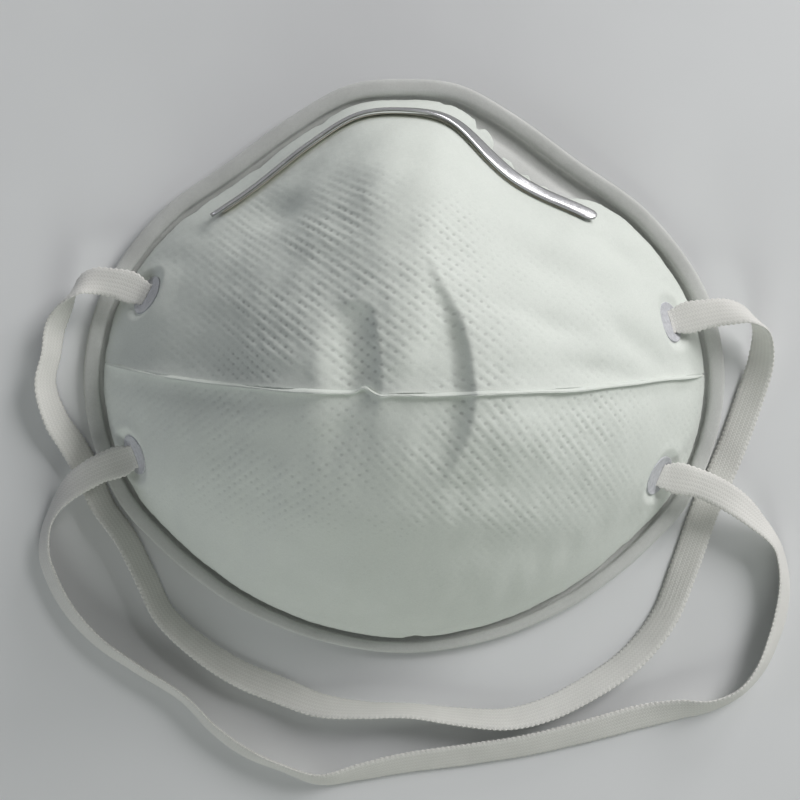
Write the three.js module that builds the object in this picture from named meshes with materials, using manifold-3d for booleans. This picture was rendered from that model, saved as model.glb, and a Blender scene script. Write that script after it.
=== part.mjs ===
// Disposable cup dust mask, lying on its rim with the dome up.
// Millimetres. +X runs from the wearer's right to their left, +Y towards the nose, +Z out of the face.
// The origin is the bottom centre of the mask without its straps.
import * as THREE from "three";
import { mergeVertices } from "three/addons/utils/BufferGeometryUtils.js";
import Module from "manifold-3d";

const wasm = await Module();
wasm.setup();

// ---- Driving dimensions ----

const RIM_WIDTH = 132; // overall, across the cheeks
const RIM_HEIGHT = 118; // twice the way from the origin to the chin
const CUP_DEPTH = 47; // from the flange to the dome's top
const DOME_ROUNDNESS = 2.1; // the exponent of the dome's side profile
const NOSE_ROUNDNESS = 2.7; // the same along the nose, which rises more steeply
const NOSE_SPREAD = 26; // how far from the nose, along the rim, its steep wall reaches
const NOSE_LIFT = 4; // how far the rim rises over the bridge of the nose
const NOSE_LIFT_START = 0.3; // where that begins, as a share of the way to the nose

const LINER_THICKNESS = 0.4;
const SHELL_THICKNESS = 1.0;
const FILTER_THICKNESS = 0.8;
const COVER_THICKNESS = 0.4;
const LAYER_GAP = 0.3; // between any two pieces that touch
const FACET_ROOM = 0.2; // more under the foam, where the dome's flat facets cut inside its curve

const FLANGE_THICKNESS = 1.2;
const BEAD_WIDTH = 3; // the rolled edge of the flange
const BEAD_NARROWING = 1.2; // how much narrower it is at the chin
const CHIN_SPREAD = 55; // how far along the rim from the chin that fades
const BEAD_HEIGHT = 2.4;
const BEAD_CHAMFER = 0.8;
const GROOVE_WIDTH = 1.2; // between the bead and the trimmed cover

const SEAM_FIN_HEIGHT = 1.2; // the turned-up seam allowance of each cover panel
const SEAM_FIN_THICKNESS = 0.4;

const CLIP_LENGTH = 89;
const CLIP_WIDTH = 3.2;
const CLIP_THICKNESS = 0.8;
const CLIP_RISE = 9.5; // height of its middle line above the flange
const ADHESIVE_THICKNESS = 0.2;
const ADHESIVE_WIDTH = 2.4;
const ADHESIVE_LENGTH = 84;

const FOAM_LENGTH = 78;
const FOAM_WIDTH = 11;
const FOAM_THICKNESS = 3.5;
const FOAM_RISE = 10;

const WELD_DIAMETER = 7.4;
const WELD_THICKNESS = 0.9;

const STRAP_WIDTH = 6;
const STRAP_THICKNESS = 0.9;

// Half of the rim's outline, nose to chin, in half widths and half heights of the rim.
const OUTLINE = [
  [0, 0.988],
  [0.167, 0.969],
  [0.343, 0.865],
  [0.536, 0.712],
  [0.737, 0.559],
  [0.864, 0.405],
  [0.947, 0.251],
  [0.988, 0.093],
  [1, -0.065],
  [0.968, -0.274],
  [0.882, -0.486],
  [0.758, -0.639],
  [0.651, -0.741],
  [0.512, -0.845],
  [0.283, -0.951],
  [0, -1],
];

// The centre seam seen from above: x in half widths of the rim, y in half heights.
const SEAM = [
  [-1.3, 0.09],
  [-0.93, 0.012],
  [-0.64, -0.05],
  [-0.35, -0.083],
  [0, -0.1],
  [0.43, -0.084],
  [0.93, -0.027],
  [1.3, 0.03],
];

// Each weld's place on the dome: the side it is on, its y in half heights, and its height
// above the flange.
const WELDS = {
  strap_weld_upper_left: { side: -1, y: 0.245, rise: 8.1 },
  strap_weld_upper_right: { side: 1, y: 0.15, rise: 9.2 },
  strap_weld_lower_left: { side: -1, y: -0.31, rise: 5.6 },
  strap_weld_lower_right: { side: 1, y: -0.38, rise: 7.7 },
};

// The straps' routes from the left weld round the chin to the right weld. Each point is x, y,
// the height of the band's lower edge above the surface, and the band's roll in degrees: 0 is
// flat, and a positive roll lifts the edge nearer the mask.
const UPPER_STRAP_ROUTE = [
  [-53.3, 14.9, 8.0, 0],
  [-56.2, 16.1, 7.6, 1],
  [-59.4, 16.8, 7.1, 4],
  [-62.2, 17.1, 6.4, 14],
  [-64.8, 16.6, 5.2, 38],
  [-67.6, 14.2, 3.2, 84],
  [-69.8, 11.2, 1.4, 116],
  [-71.5, 7.8, 0.3, 124],
  [-72.4, 2.6, 0.1, 118],
  [-73.6, -3.6, 0.1, 122],
  [-71.4, -11.2, 0.1, 141],
  [-68.4, -15.8, 0.1, 150],
  [-66.0, -19.9, 0.1, 154],
  [-64.3, -23.4, 0.1, 146],
  [-61.7, -28.8, 0.1, 134],
  [-57.2, -35.2, 0.1, 132],
  [-52.8, -43.8, 0.1, 131],
  [-49.4, -50.8, 0.1, 130],
  [-42.2, -57.7, 0.1, 136],
  [-34.0, -63.1, 0.1, 147],
  [-25.7, -66.6, 0.1, 152],
  [-17.4, -69.6, 0.1, 136],
  [-8.4, -70.5, 0.1, 113],
  [1.0, -70.6, 0.1, 107],
  [11.6, -71.9, 0.1, 118],
  [21.5, -72.4, 0.1, 127],
  [30.5, -70.0, 0.1, 134],
  [38.9, -65.6, 0.1, 137],
  [47.2, -59.6, 0.1, 143],
  [53.4, -51.8, 0.1, 150],
  [57.6, -41.8, 0.1, 159],
  [62.0, -29.6, 0.1, 168],
  [67.2, -17.7, 0.1, 169],
  [71.0, -7.0, 0.1, 161],
  [73.2, 1.4, 0.6, 143],
  [72.6, 7.2, 2.6, 108],
  [69.3, 10.2, 5.5, 58],
  [64.6, 10.8, 7.8, 16],
  [59.4, 10.1, 8.8, 2],
  [54.9, 9.1, 9.1, 0],
];

const LOWER_STRAP_ROUTE = [
  [-55.9, -18.8, 5.5, 0],
  [-58.3, -19.6, 5.4, 1],
  [-61.6, -20.8, 5.2, 4],
  [-64.7, -22.5, 4.6, 14],
  [-67.9, -24.7, 3.1, 32],
  [-70.4, -27.4, 1.4, 54],
  [-72.2, -30.4, 0.4, 66],
  [-73.4, -33.6, 0.1, 64],
  [-73.8, -38.6, 0.1, 54],
  [-72.2, -43.8, 0.1, 52],
  [-68.7, -50.0, 0.1, 53],
  [-63.2, -56.1, 0.1, 57],
  [-54.3, -62.3, 0.1, 62],
  [-44.9, -68.4, 0.1, 66],
  [-38.8, -74.6, 0.1, 62],
  [-32.6, -79.1, 0.1, 58],
  [-25.4, -82.2, 0.1, 69],
  [-17.2, -84.8, 0.1, 58],
  [-9.0, -83.3, 0.1, 42],
  [-0.8, -81.7, 0.1, 34],
  [11.5, -80.0, 0.1, 30],
  [23.8, -78.2, 0.1, 32],
  [36.1, -75.4, 0.1, 27],
  [48.4, -72.2, 0.1, 18],
  [56.6, -70.5, 0.1, 36],
  [63.0, -69.7, 0.1, 60],
  [69.0, -66.8, 0.1, 66],
  [73.2, -61.9, 0.1, 58],
  [75.8, -56.1, 0.1, 52],
  [77.5, -50.0, 0.1, 50],
  [78.0, -43.8, 0.1, 56],
  [76.8, -37.7, 0.2, 66],
  [74.8, -34.4, 0.9, 60],
  [71.9, -31.5, 2.5, 44],
  [68.0, -28.3, 4.7, 24],
  [63.6, -25.6, 6.3, 9],
  [59.8, -23.9, 7.1, 3],
  [56.4, -23.0, 7.5, 1],
  [53.5, -22.5, 7.6, 0],
];

// ---- The dome's surface ----

const AROUND = 48; // steps round the rim
const UP = 8; // steps from the rim to the top
const FOOT_CROWDING = 1.15; // how much closer together those steps are near the rim
const OUTLINE_SAMPLES = 2000;
const TINY = 1e-3; // a step round the rim or up the dome, to find a direction
const SAME_POINT = 1e-4; // points closer than this are merged
const halfWidth = RIM_WIDTH / 2;
const halfHeight = RIM_HEIGHT / 2;
const domeFoot = FLANGE_THICKNESS + LAYER_GAP;
const top = new THREE.Vector3(0, -0.1 * halfHeight, 0);

const mirrored = OUTLINE.slice(1, -1).reverse();
const outlinePoints = [
  ...OUTLINE.map(([x, y]) => new THREE.Vector3(x * halfWidth, y * halfHeight, 0)),
  ...mirrored.map(([x, y]) => new THREE.Vector3(-x * halfWidth, y * halfHeight, 0)),
];
const outline = new THREE.CatmullRomCurve3(outlinePoints, true, "centripetal");
outline.arcLengthDivisions = OUTLINE_SAMPLES;
const rimLength = outline.getLength();

// 1 at the nose, falling to 0 along the rim. u runs once round the rim from the nose.
function noseShare(u) {
  const along = Math.min(u, 1 - u) * rimLength;
  return Math.exp(-((along / NOSE_SPREAD) ** 2));
}

const wrap = (u) => ((u % 1) + 1) % 1;

// The rim's outline moved inwards.
function rimPoint(u, inset) {
  const at = wrap(u);
  const tangent = outline.getTangentAt(at);
  const inward = new THREE.Vector3(tangent.y, -tangent.x, 0);
  return outline.getPointAt(at).addScaledVector(inward, inset);
}

function beadWidth(u) {
  const fromChin = Math.abs(wrap(u) - 0.5) * rimLength;
  return BEAD_WIDTH - BEAD_NARROWING * Math.exp(-((fromChin / CHIN_SPREAD) ** 2));
}

const coverInset = (u) => beadWidth(u) + GROOVE_WIDTH;

function roundnessAt(u) {
  return THREE.MathUtils.lerp(DOME_ROUNDNESS, NOSE_ROUNDNESS, noseShare(wrap(u)));
}

// A point of the cover's outer surface, at a share of the dome's depth above the flange.
function domePoint(u, share) {
  const spread = Math.max(0, 1 - share) ** (1 / roundnessAt(u));
  const foot = rimPoint(u, coverInset(u));
  const p = new THREE.Vector3().lerpVectors(top, foot, spread);
  p.z = domeFoot + CUP_DEPTH * share;
  return p;
}

function domeNormal(u, share) {
  if (share > 1 - TINY) return new THREE.Vector3(0, 0, 1);
  const round = domePoint(u + TINY, share).sub(domePoint(u - TINY, share));
  const up = domePoint(u, Math.min(1, share + TINY)).sub(domePoint(u, share - TINY));
  return up.cross(round).normalize();
}

// A point moved off the cover's outer surface along its normal: negative is towards the face.
function domeOffset(u, share, offset) {
  return domePoint(u, share).addScaledVector(domeNormal(u, share), offset);
}

const HALVINGS = 40;

// Closes in on the place between two numbers where stillFirst stops being true.
function closeIn(first, last, stillFirst) {
  let near = first;
  let far = last;
  for (let i = 0; i < HALVINGS; i += 1) {
    const middle = (near + far) / 2;
    if (stillFirst(middle)) near = middle;
    else far = middle;
  }
  return near;
}

const CHEEK_START = 0.08; // the cheek's part of the rim, from the nose towards the chin
const CHEEK_END = 0.42;

// Where the dome at a given height has a given y, on the left (-1) or the right (1).
function findAround(side, y, share) {
  const above = (u) => domePoint(u, share).y > y;
  if (side > 0) return closeIn(CHEEK_START, CHEEK_END, above);
  return closeIn(1 - CHEEK_START, 1 - CHEEK_END, above);
}

// ---- Solids ----

function solidFrom(positions, triangles) {
  const geometry = new THREE.BufferGeometry();
  geometry.setAttribute("position", new THREE.Float32BufferAttribute(positions, 3));
  geometry.setIndex(triangles);
  const merged = mergeVertices(geometry, SAME_POINT);
  return new wasm.Manifold(
    new wasm.Mesh({
      numProp: 3,
      vertProperties: merged.attributes.position.array,
      triVerts: new Uint32Array(merged.index.array),
    }),
  );
}

// A solid from one of three.js's own shapes.
function solidFromShape(geometry) {
  geometry.deleteAttribute("normal");
  geometry.deleteAttribute("uv");
  const merged = mergeVertices(geometry, SAME_POINT);
  return solidFrom(Array.from(merged.attributes.position.array), Array.from(merged.index.array));
}

// A solid whose sections are rings of points: each ring has as many points as the next.
// The ends are closed with fans.
function loft(rings) {
  const count = rings[0].length;
  const positions = rings.flat().flatMap((p) => [p.x, p.y, p.z]);
  const triangles = [];
  for (let i = 0; i < rings.length - 1; i += 1) {
    for (let j = 0; j < count; j += 1) {
      const a = i * count + j;
      const b = i * count + ((j + 1) % count);
      triangles.push(a, b, b + count, a, b + count, a + count);
    }
  }
  const last = (rings.length - 1) * count;
  for (let j = 1; j < count - 1; j += 1) {
    triangles.push(0, j + 1, j, last, last + j, last + j + 1);
  }
  return solidFrom(positions, triangles);
}

const LOWEST_FOOT = -0.2; // where a layer's foot can lie, as shares of the dome's depth
const HIGHEST_FOOT = 0.5;

// A meridian of an offset surface, from a height at its foot to just short of the dome's top.
function meridian(u, offset, height) {
  const atFoot = (share) => domeOffset(u, share, offset).z <= height;
  const foot = closeIn(LOWEST_FOOT, HIGHEST_FOOT, atFoot);
  return Array.from({ length: UP }, (_, i) => {
    const point = domeOffset(u, foot + (1 - foot) * (i / UP) ** FOOT_CROWDING, offset);
    return i === 0 ? point.setZ(height) : point;
  });
}

// A bowl whose wall is a closed line of points at each step round the rim. The line starts at
// the dome's top on the outside, runs down round the foot, and ends at the top on the inside.
function bowl(wallAt, outerOffset, innerOffset) {
  const walls = Array.from({ length: AROUND }, (_, i) => wallAt(i / AROUND));
  const count = walls[0].length;
  const positions = walls.flat().flatMap((p) => [p.x, p.y, p.z]);
  const outerPeak = positions.length / 3;
  const innerPeak = outerPeak + 1;
  const peakHeight = domeFoot + CUP_DEPTH;
  positions.push(top.x, top.y, peakHeight + outerOffset, top.x, top.y, peakHeight + innerOffset);
  const triangles = [];
  for (let i = 0; i < AROUND; i += 1) {
    const here = i * count;
    const next = ((i + 1) % AROUND) * count;
    triangles.push(outerPeak, next, here);
    for (let j = 0; j < count - 1; j += 1) {
      triangles.push(here + j, next + j, next + j + 1, here + j, next + j + 1, here + j + 1);
    }
    triangles.push(innerPeak, here + count - 1, next + count - 1);
  }
  return solidFrom(positions, triangles);
}

// A layer of the dome between two offsets, cut level at its foot.
function domeLayer(inner, outer, height) {
  const wallAt = (u) => [...meridian(u, outer, height).reverse(), ...meridian(u, inner, height)];
  return bowl(wallAt, outer, inner);
}

// ---- The seam ----

const BEYOND = 2 * Math.max(RIM_WIDTH, RIM_HEIGHT, CUP_DEPTH); // further than the mask reaches
const SEAM_STEPS = 28;

const seamCurve = new THREE.CatmullRomCurve3(
  SEAM.map(([x, y]) => new THREE.Vector3(x * halfWidth, y * halfHeight, 0)),
);
const halfGap = LAYER_GAP / 2;

// Everything on the nose side (1) or the chin side (-1) of the seam, up to half a gap from it.
function besideSeam(side) {
  const line = seamCurve.getPoints(SEAM_STEPS).map((p) => new THREE.Vector2(p.x, p.y + side * halfGap));
  const corners = [line.at(-1), line[0]].map((p) => new THREE.Vector2(p.x, side * BEYOND));
  const shape = new THREE.Shape([...line, ...corners]);
  const geometry = new THREE.ExtrudeGeometry(shape, { depth: 2 * BEYOND, bevelEnabled: false });
  return solidFromShape(geometry.translate(0, 0, -BEYOND));
}

const noseSide = besideSeam(1);
const chinSide = besideSeam(-1);

// ---- Layers, from the outside in ----

const coverInner = -COVER_THICKNESS;
const filterOuter = coverInner - LAYER_GAP;
const filterInner = filterOuter - FILTER_THICKNESS;
const shellOuter = filterInner - LAYER_GAP;
const shellInner = shellOuter - SHELL_THICKNESS;
const linerOuter = shellInner - LAYER_GAP;
const linerInner = linerOuter - LINER_THICKNESS;

const WELD_SIDES = 20;

function weldPlace({ side, y, rise }) {
  const share = rise / CUP_DEPTH;
  const u = findAround(side, y * halfHeight, share);
  return { at: domePoint(u, share), normal: domeNormal(u, share) };
}

// A disc or a hole for it, square to the dome at one weld, between two offsets.
function weldDisc(weld, diameter, inner, outer) {
  const { at, normal } = weldPlace(weld);
  const turn = new THREE.Quaternion().setFromUnitVectors(new THREE.Vector3(0, 1, 0), normal);
  const geometry = new THREE.CylinderGeometry(diameter / 2, diameter / 2, outer - inner, WELD_SIDES)
    .translate(0, (inner + outer) / 2, 0)
    .applyQuaternion(turn)
    .translate(at.x, at.y, at.z);
  return solidFromShape(geometry);
}

const holeDiameter = WELD_DIAMETER + 2 * LAYER_GAP;
const weldHoles = Object.values(WELDS).map((weld) =>
  weldDisc(weld, holeDiameter, filterInner - LAYER_GAP / 2, SEAM_FIN_HEIGHT),
);

function withoutWelds(solid) {
  return weldHoles.reduce((left, hole) => left.subtract(hole), solid);
}

function panels(inner, outer) {
  const whole = withoutWelds(domeLayer(inner, outer, domeFoot));
  return { nose: whole.intersect(noseSide), chin: whole.intersect(chinSide) };
}

// The place round the rim and up the dome of the surface point over x, y.
function findOver(x, y) {
  const wanted = Math.atan2(x - top.x, y - top.y);
  const u = closeIn(-0.5, 0.5, (at) => {
    const foot = domePoint(at, 0);
    return Math.atan2(foot.x - top.x, foot.y - top.y) <= wanted;
  });
  const foot = domePoint(u, 0);
  const spread = Math.hypot(x - top.x, y - top.y) / Math.hypot(foot.x - top.x, foot.y - top.y);
  return { u, share: 1 - spread ** roundnessAt(u) };
}

const FIN_BURIED = COVER_THICKNESS / 2;
const FIN_STEPS = 26;
const FIN_SAMPLES = 400;
const FIN_END = 0.005; // how high on the dome a fin stops, as a share of its depth

// One panel's seam allowance, standing up along the seam between two shifts from its line.
function seamFin(from, to) {
  const onDome = seamCurve.getPoints(FIN_SAMPLES).filter((p) => findOver(p.x, p.y).share > FIN_END);
  const rings = Array.from({ length: FIN_STEPS + 1 }, (_, i) => {
    const p = onDome[Math.round((i * (onDome.length - 1)) / FIN_STEPS)];
    const corner = (shift, height) => {
      const { u, share } = findOver(p.x, p.y + shift);
      return domeOffset(u, share, height).setY(p.y + shift);
    };
    return [
      corner(to, -FIN_BURIED),
      corner(to, SEAM_FIN_HEIGHT),
      corner(from, SEAM_FIN_HEIGHT),
      corner(from, -FIN_BURIED),
    ];
  });
  return loft(rings);
}

// The shell and its flange: the wall runs out into a flat flange with a rolled bead at its edge.
function mouldedShell() {
  const edge = (u) => [
    [beadWidth(u), FLANGE_THICKNESS],
    [beadWidth(u) - BEAD_CHAMFER, BEAD_HEIGHT],
    [BEAD_CHAMFER, BEAD_HEIGHT],
    [0, BEAD_HEIGHT - BEAD_CHAMFER],
    [0, BEAD_CHAMFER],
    [BEAD_CHAMFER, 0],
  ];
  const wallAt = (u) => [
    ...meridian(u, shellOuter, FLANGE_THICKNESS).reverse(),
    ...edge(u).map(([inset, z]) => rimPoint(u, inset).setZ(z)),
    ...meridian(u, shellInner, 0),
  ];
  return bowl(wallAt, shellOuter, shellInner);
}

const LINER_HEM = 0.4; // how far the liner stops above the surface

function innerLiner() {
  return domeLayer(linerInner, linerOuter, LINER_HEM);
}

// ---- Strips that follow the dome over the nose ----

const STRIP_REACH = 0.3; // how far round the rim a strip can run from the nose
const STRIP_SAMPLES = 400;
const END_STEPS = 4; // steps round each of a strip's ends
const END_WIDTH = 0.25; // the tip of an end, as a share of the strip's width

// How far round the rim each distance from the nose lies, along a line on an offset of the dome.
function roundFromNose(share, offset) {
  const uAt = (i) => (STRIP_REACH * i) / STRIP_SAMPLES;
  const distances = [0];
  for (let i = 1; i <= STRIP_SAMPLES; i += 1) {
    const step = domeOffset(uAt(i), share, offset).distanceTo(domeOffset(uAt(i - 1), share, offset));
    distances.push(distances[i - 1] + step);
  }
  return (distance) => {
    if (distance === 0) return 0;
    const i = distances.findIndex((d) => d >= Math.abs(distance));
    const part = (Math.abs(distance) - distances[i - 1]) / (distances[i] - distances[i - 1]);
    return Math.sign(distance) * uAt(i - 1 + part);
  };
}

// Where a strip's sections lie along it, from its middle, and half its width at each.
function stripStations(length, width, steps) {
  const radius = width / 2;
  const straight = length - width;
  return Array.from({ length: steps + 1 }, (_, i) => {
    const fromEnd = Math.min(i, steps - i);
    if (fromEnd >= END_STEPS) {
      const part = (i - END_STEPS) / (steps - 2 * END_STEPS);
      return { along: straight * (part - 0.5), half: radius };
    }
    const angle = (fromEnd / END_STEPS) * (Math.PI / 2);
    const side = i < END_STEPS ? -1 : 1;
    return {
      along: side * (straight / 2 + radius * Math.cos(angle)),
      half: radius * Math.max(Math.sin(angle), END_WIDTH),
    };
  });
}

// A strip with round ends at one height on the dome, between two offsets.
function noseStrip({ length, width, rise, inner, outer, steps, columns }) {
  const share = rise / CUP_DEPTH;
  const roundTo = roundFromNose(share, (inner + outer) / 2);
  const rings = stripStations(length, width, steps).map(({ along, half }) => {
    const u = roundTo(along);
    const slope = domePoint(u, share + TINY).distanceTo(domePoint(u, share - TINY)) / (2 * TINY);
    const across = columns.map((m) => share + (m * half) / slope);
    return [
      ...across.map((s) => domeOffset(u, s, outer)),
      ...across.reverse().map((s) => domeOffset(u, s, inner)),
    ];
  });
  return loft(rings);
}

const adhesiveInner = LAYER_GAP;
const adhesiveOuter = adhesiveInner + ADHESIVE_THICKNESS;
const clipInner = adhesiveOuter + LAYER_GAP;
const clipOuter = clipInner + CLIP_THICKNESS;
const foamOuter = linerInner - LAYER_GAP - FACET_ROOM;
const foamInner = foamOuter - FOAM_THICKNESS;

const adhesive = {
  length: ADHESIVE_LENGTH,
  width: ADHESIVE_WIDTH,
  rise: CLIP_RISE,
  inner: adhesiveInner,
  outer: adhesiveOuter,
  steps: 36,
  columns: [-1, 0, 1],
};
const clip = {
  length: CLIP_LENGTH,
  width: CLIP_WIDTH,
  rise: CLIP_RISE,
  inner: clipInner,
  outer: clipOuter,
  steps: 44,
  columns: [-1, 0, 1],
};
const foam = {
  length: FOAM_LENGTH,
  width: FOAM_WIDTH,
  rise: FOAM_RISE,
  inner: foamInner,
  outer: foamOuter,
  steps: 36,
  columns: [-1, -0.5, 0, 0.5, 1],
};

// ---- Straps ----

const STRAP_EDGE = 0.25; // the chamfer along a strap's edges
const halfBand = STRAP_WIDTH / 2;
const halfThick = STRAP_THICKNESS / 2;
const strapSection = [
  [-halfBand, -halfThick + STRAP_EDGE],
  [-halfBand + STRAP_EDGE, -halfThick],
  [halfBand - STRAP_EDGE, -halfThick],
  [halfBand, -halfThick + STRAP_EDGE],
  [halfBand, halfThick - STRAP_EDGE],
  [halfBand - STRAP_EDGE, halfThick],
  [-halfBand + STRAP_EDGE, halfThick],
  [-halfBand, halfThick - STRAP_EDGE],
];

const STRAP_STEPS = 76;

// The middle of a band and its two directions across at each step along a route.
function bandFrames(route) {
  const plan = new THREE.CatmullRomCurve3(
    route.map(([x, y]) => new THREE.Vector3(x, y, 0)),
    false,
    "centripetal",
  );
  const spans = route.length - 1;
  const frames = [];
  for (let i = 0; i <= STRAP_STEPS; i += 1) {
    const t = i / STRAP_STEPS;
    const span = Math.min(spans - 1, Math.floor(t * spans));
    const part = t * spans - span;
    const lift = THREE.MathUtils.lerp(route[span][2], route[span + 1][2], part);
    const degrees = THREE.MathUtils.lerp(route[span][3], route[span + 1][3], part);
    const roll = THREE.MathUtils.degToRad(degrees);
    const corners = strapSection.map(([a, b]) => a * Math.sin(roll) + b * Math.cos(roll));
    const rise = Math.max(...corners);
    frames.push({ middle: plan.getPoint(t).setZ(lift + rise), roll });
  }
  frames.forEach((frame, i) => {
    const before = frames[Math.max(0, i - 1)].middle;
    const after = frames[Math.min(STRAP_STEPS, i + 1)].middle;
    const tangent = after.clone().sub(before).normalize();
    const left = new THREE.Vector3(0, 0, 1).cross(tangent).normalize();
    const upward = tangent.clone().cross(left);
    left.multiplyScalar(Math.cos(frame.roll));
    frame.across = left.addScaledVector(upward, Math.sin(frame.roll));
    frame.out = tangent.clone().cross(frame.across);
  });
  return frames;
}

function strap(route) {
  const rings = bandFrames(route).map(({ middle, across, out }) =>
    strapSection.map(([a, b]) => middle.clone().addScaledVector(across, a).addScaledVector(out, b)),
  );
  return loft(rings);
}

// ---- Lift of the rim over the nose ----

function noseLift(x, y) {
  const share = THREE.MathUtils.clamp(y / halfHeight, 0, 1);
  return NOSE_LIFT * THREE.MathUtils.smoothstep(share, NOSE_LIFT_START, 1);
}

// ---- Materials and assembly ----

function material(color, roughness, metalness = 0) {
  return new THREE.MeshStandardMaterial({ color, roughness, metalness });
}

const mask = new THREE.Group();

function addPiece(name, solid, look, lifted = true) {
  const mesh = solid.getMesh();
  const positions = Float32Array.from(mesh.vertProperties);
  if (lifted) {
    for (let i = 0; i < positions.length; i += 3) {
      positions[i + 2] += noseLift(positions[i], positions[i + 1]);
    }
  }
  const geometry = new THREE.BufferGeometry();
  geometry.setAttribute("position", new THREE.BufferAttribute(positions, 3));
  geometry.setIndex(Array.from(mesh.triVerts));
  geometry.computeVertexNormals();
  const piece = new THREE.Mesh(geometry, look);
  piece.name = name;
  mask.add(piece);
}

const filterPanels = panels(filterInner, filterOuter);
const coverPanels = panels(coverInner, 0);

addPiece("inner_liner", innerLiner(), material(0xe9ebe8, 0.9));
addPiece("moulded_shell", mouldedShell(), material(0xdfe3df, 0.85));
addPiece("filter_upper_panel", filterPanels.nose, material(0xf0f0ee, 0.95));
addPiece("filter_lower_panel", filterPanels.chin, material(0xf0f0ee, 0.95));
addPiece(
  "cover_upper_panel",
  coverPanels.nose.add(seamFin(halfGap, halfGap + SEAM_FIN_THICKNESS)),
  material(0xe4e9e5, 0.85),
);
addPiece(
  "cover_lower_panel",
  coverPanels.chin.add(seamFin(-halfGap - SEAM_FIN_THICKNESS, -halfGap)),
  material(0xe4e9e5, 0.85),
);
addPiece("nose_clip_adhesive", noseStrip(adhesive), material(0xf4f1e2, 0.4));
addPiece("nose_clip", noseStrip(clip), material(0xb9bcbe, 0.3, 1));
addPiece("nose_foam", noseStrip(foam), material(0x6f7377, 0.95));
const weldFoot = shellOuter + LAYER_GAP;
for (const [name, weld] of Object.entries(WELDS)) {
  const disc = weldDisc(weld, WELD_DIAMETER, weldFoot, weldFoot + WELD_THICKNESS);
  addPiece(name, disc, material(0xd5d6e2, 0.5));
}
addPiece("upper_strap", strap(UPPER_STRAP_ROUTE), material(0xf1f2f0, 0.8), false);
addPiece("lower_strap", strap(LOWER_STRAP_ROUTE), material(0xf1f2f0, 0.8), false);

export default mask;
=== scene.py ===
"""The looks of a disposable cup dust mask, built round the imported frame.

Lengths in this script are millimetres until a mesh is made; Blender gets metres.
+X is across the cheeks, +Y runs to the nose, +Z is up, out of the wearer's face.
"""

import math

import bpy
import numpy as np
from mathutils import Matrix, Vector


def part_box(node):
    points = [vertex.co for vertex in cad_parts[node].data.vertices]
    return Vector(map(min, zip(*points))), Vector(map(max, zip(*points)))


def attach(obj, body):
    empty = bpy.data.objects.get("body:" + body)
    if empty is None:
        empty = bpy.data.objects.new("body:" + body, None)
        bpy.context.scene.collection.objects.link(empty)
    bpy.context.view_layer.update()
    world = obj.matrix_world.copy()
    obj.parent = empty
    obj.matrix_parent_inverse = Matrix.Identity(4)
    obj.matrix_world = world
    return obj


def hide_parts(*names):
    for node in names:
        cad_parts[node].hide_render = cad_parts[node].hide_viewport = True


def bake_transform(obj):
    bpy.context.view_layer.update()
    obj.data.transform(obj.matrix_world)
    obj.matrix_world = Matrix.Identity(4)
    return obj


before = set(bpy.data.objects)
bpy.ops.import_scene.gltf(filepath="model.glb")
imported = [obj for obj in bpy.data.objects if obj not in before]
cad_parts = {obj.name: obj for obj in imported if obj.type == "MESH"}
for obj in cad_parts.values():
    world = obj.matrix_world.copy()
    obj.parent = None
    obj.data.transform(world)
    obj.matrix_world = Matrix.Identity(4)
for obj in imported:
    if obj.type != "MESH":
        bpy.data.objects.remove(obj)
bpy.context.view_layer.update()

MM = 0.001


# ---- Sizes, from the frame and, where a box can't say them, as the CAD has them ----

def box_mm(node):
    low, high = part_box(node)
    return np.array(low) / MM, np.array(high) / MM


rim_low, rim_high = box_mm("moulded_shell")
half_width = (rim_high[0] - rim_low[0]) / 2
half_height = -rim_low[1]

LINER_THICKNESS = 0.4
SHELL_THICKNESS = 1.0
FILTER_THICKNESS = 0.8
COVER_THICKNESS = 0.4
LAYER_GAP = 0.3
FACET_ROOM = 0.2  # more, where flat facets cut across a curve
FLANGE_THICKNESS = 1.2
BEAD_WIDTH = 3.0
BEAD_NARROWING = 1.2  # at the chin
CHIN_SPREAD = 55  # and how far along the rim it goes
BEAD_HEIGHT = 2.4
GROOVE_WIDTH = 1.2
DOME_ROUNDNESS = 2.1  # the power of the dome's side curve
NOSE_ROUNDNESS = 2.7
NOSE_SPREAD = 26
NOSE_LIFT = 4
NOSE_LIFT_START = 0.3
FIN_HEIGHT = 1.2

FOOT_HEIGHT = FLANGE_THICKNESS + LAYER_GAP
dome_top_height = box_mm("filter_upper_panel")[1][2] + LAYER_GAP + COVER_THICKNESS
cup_depth = dome_top_height - FOOT_HEIGHT
TOP = np.array([0.0, -0.1 * half_height])  # the dome's top, seen from above

filter_inner = -COVER_THICKNESS - LAYER_GAP - FILTER_THICKNESS
shell_outer = filter_inner - LAYER_GAP
shell_inner = shell_outer - SHELL_THICKNESS
liner_outer = shell_inner - LAYER_GAP
liner_inner = liner_outer - LINER_THICKNESS

OUTLINE = [
    (0, 0.988), (0.167, 0.969), (0.343, 0.865), (0.536, 0.712), (0.737, 0.559), (0.864, 0.405),
    (0.947, 0.251), (0.988, 0.093), (1, -0.065), (0.968, -0.274), (0.882, -0.486), (0.758, -0.639),
    (0.651, -0.741), (0.512, -0.845), (0.283, -0.951), (0, -1),
]
SEAM = [
    (-1.3, 0.09), (-0.93, 0.012), (-0.64, -0.05), (-0.35, -0.083), (0, -0.1), (0.43, -0.084),
    (0.93, -0.027), (1.3, 0.03),
]

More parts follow.
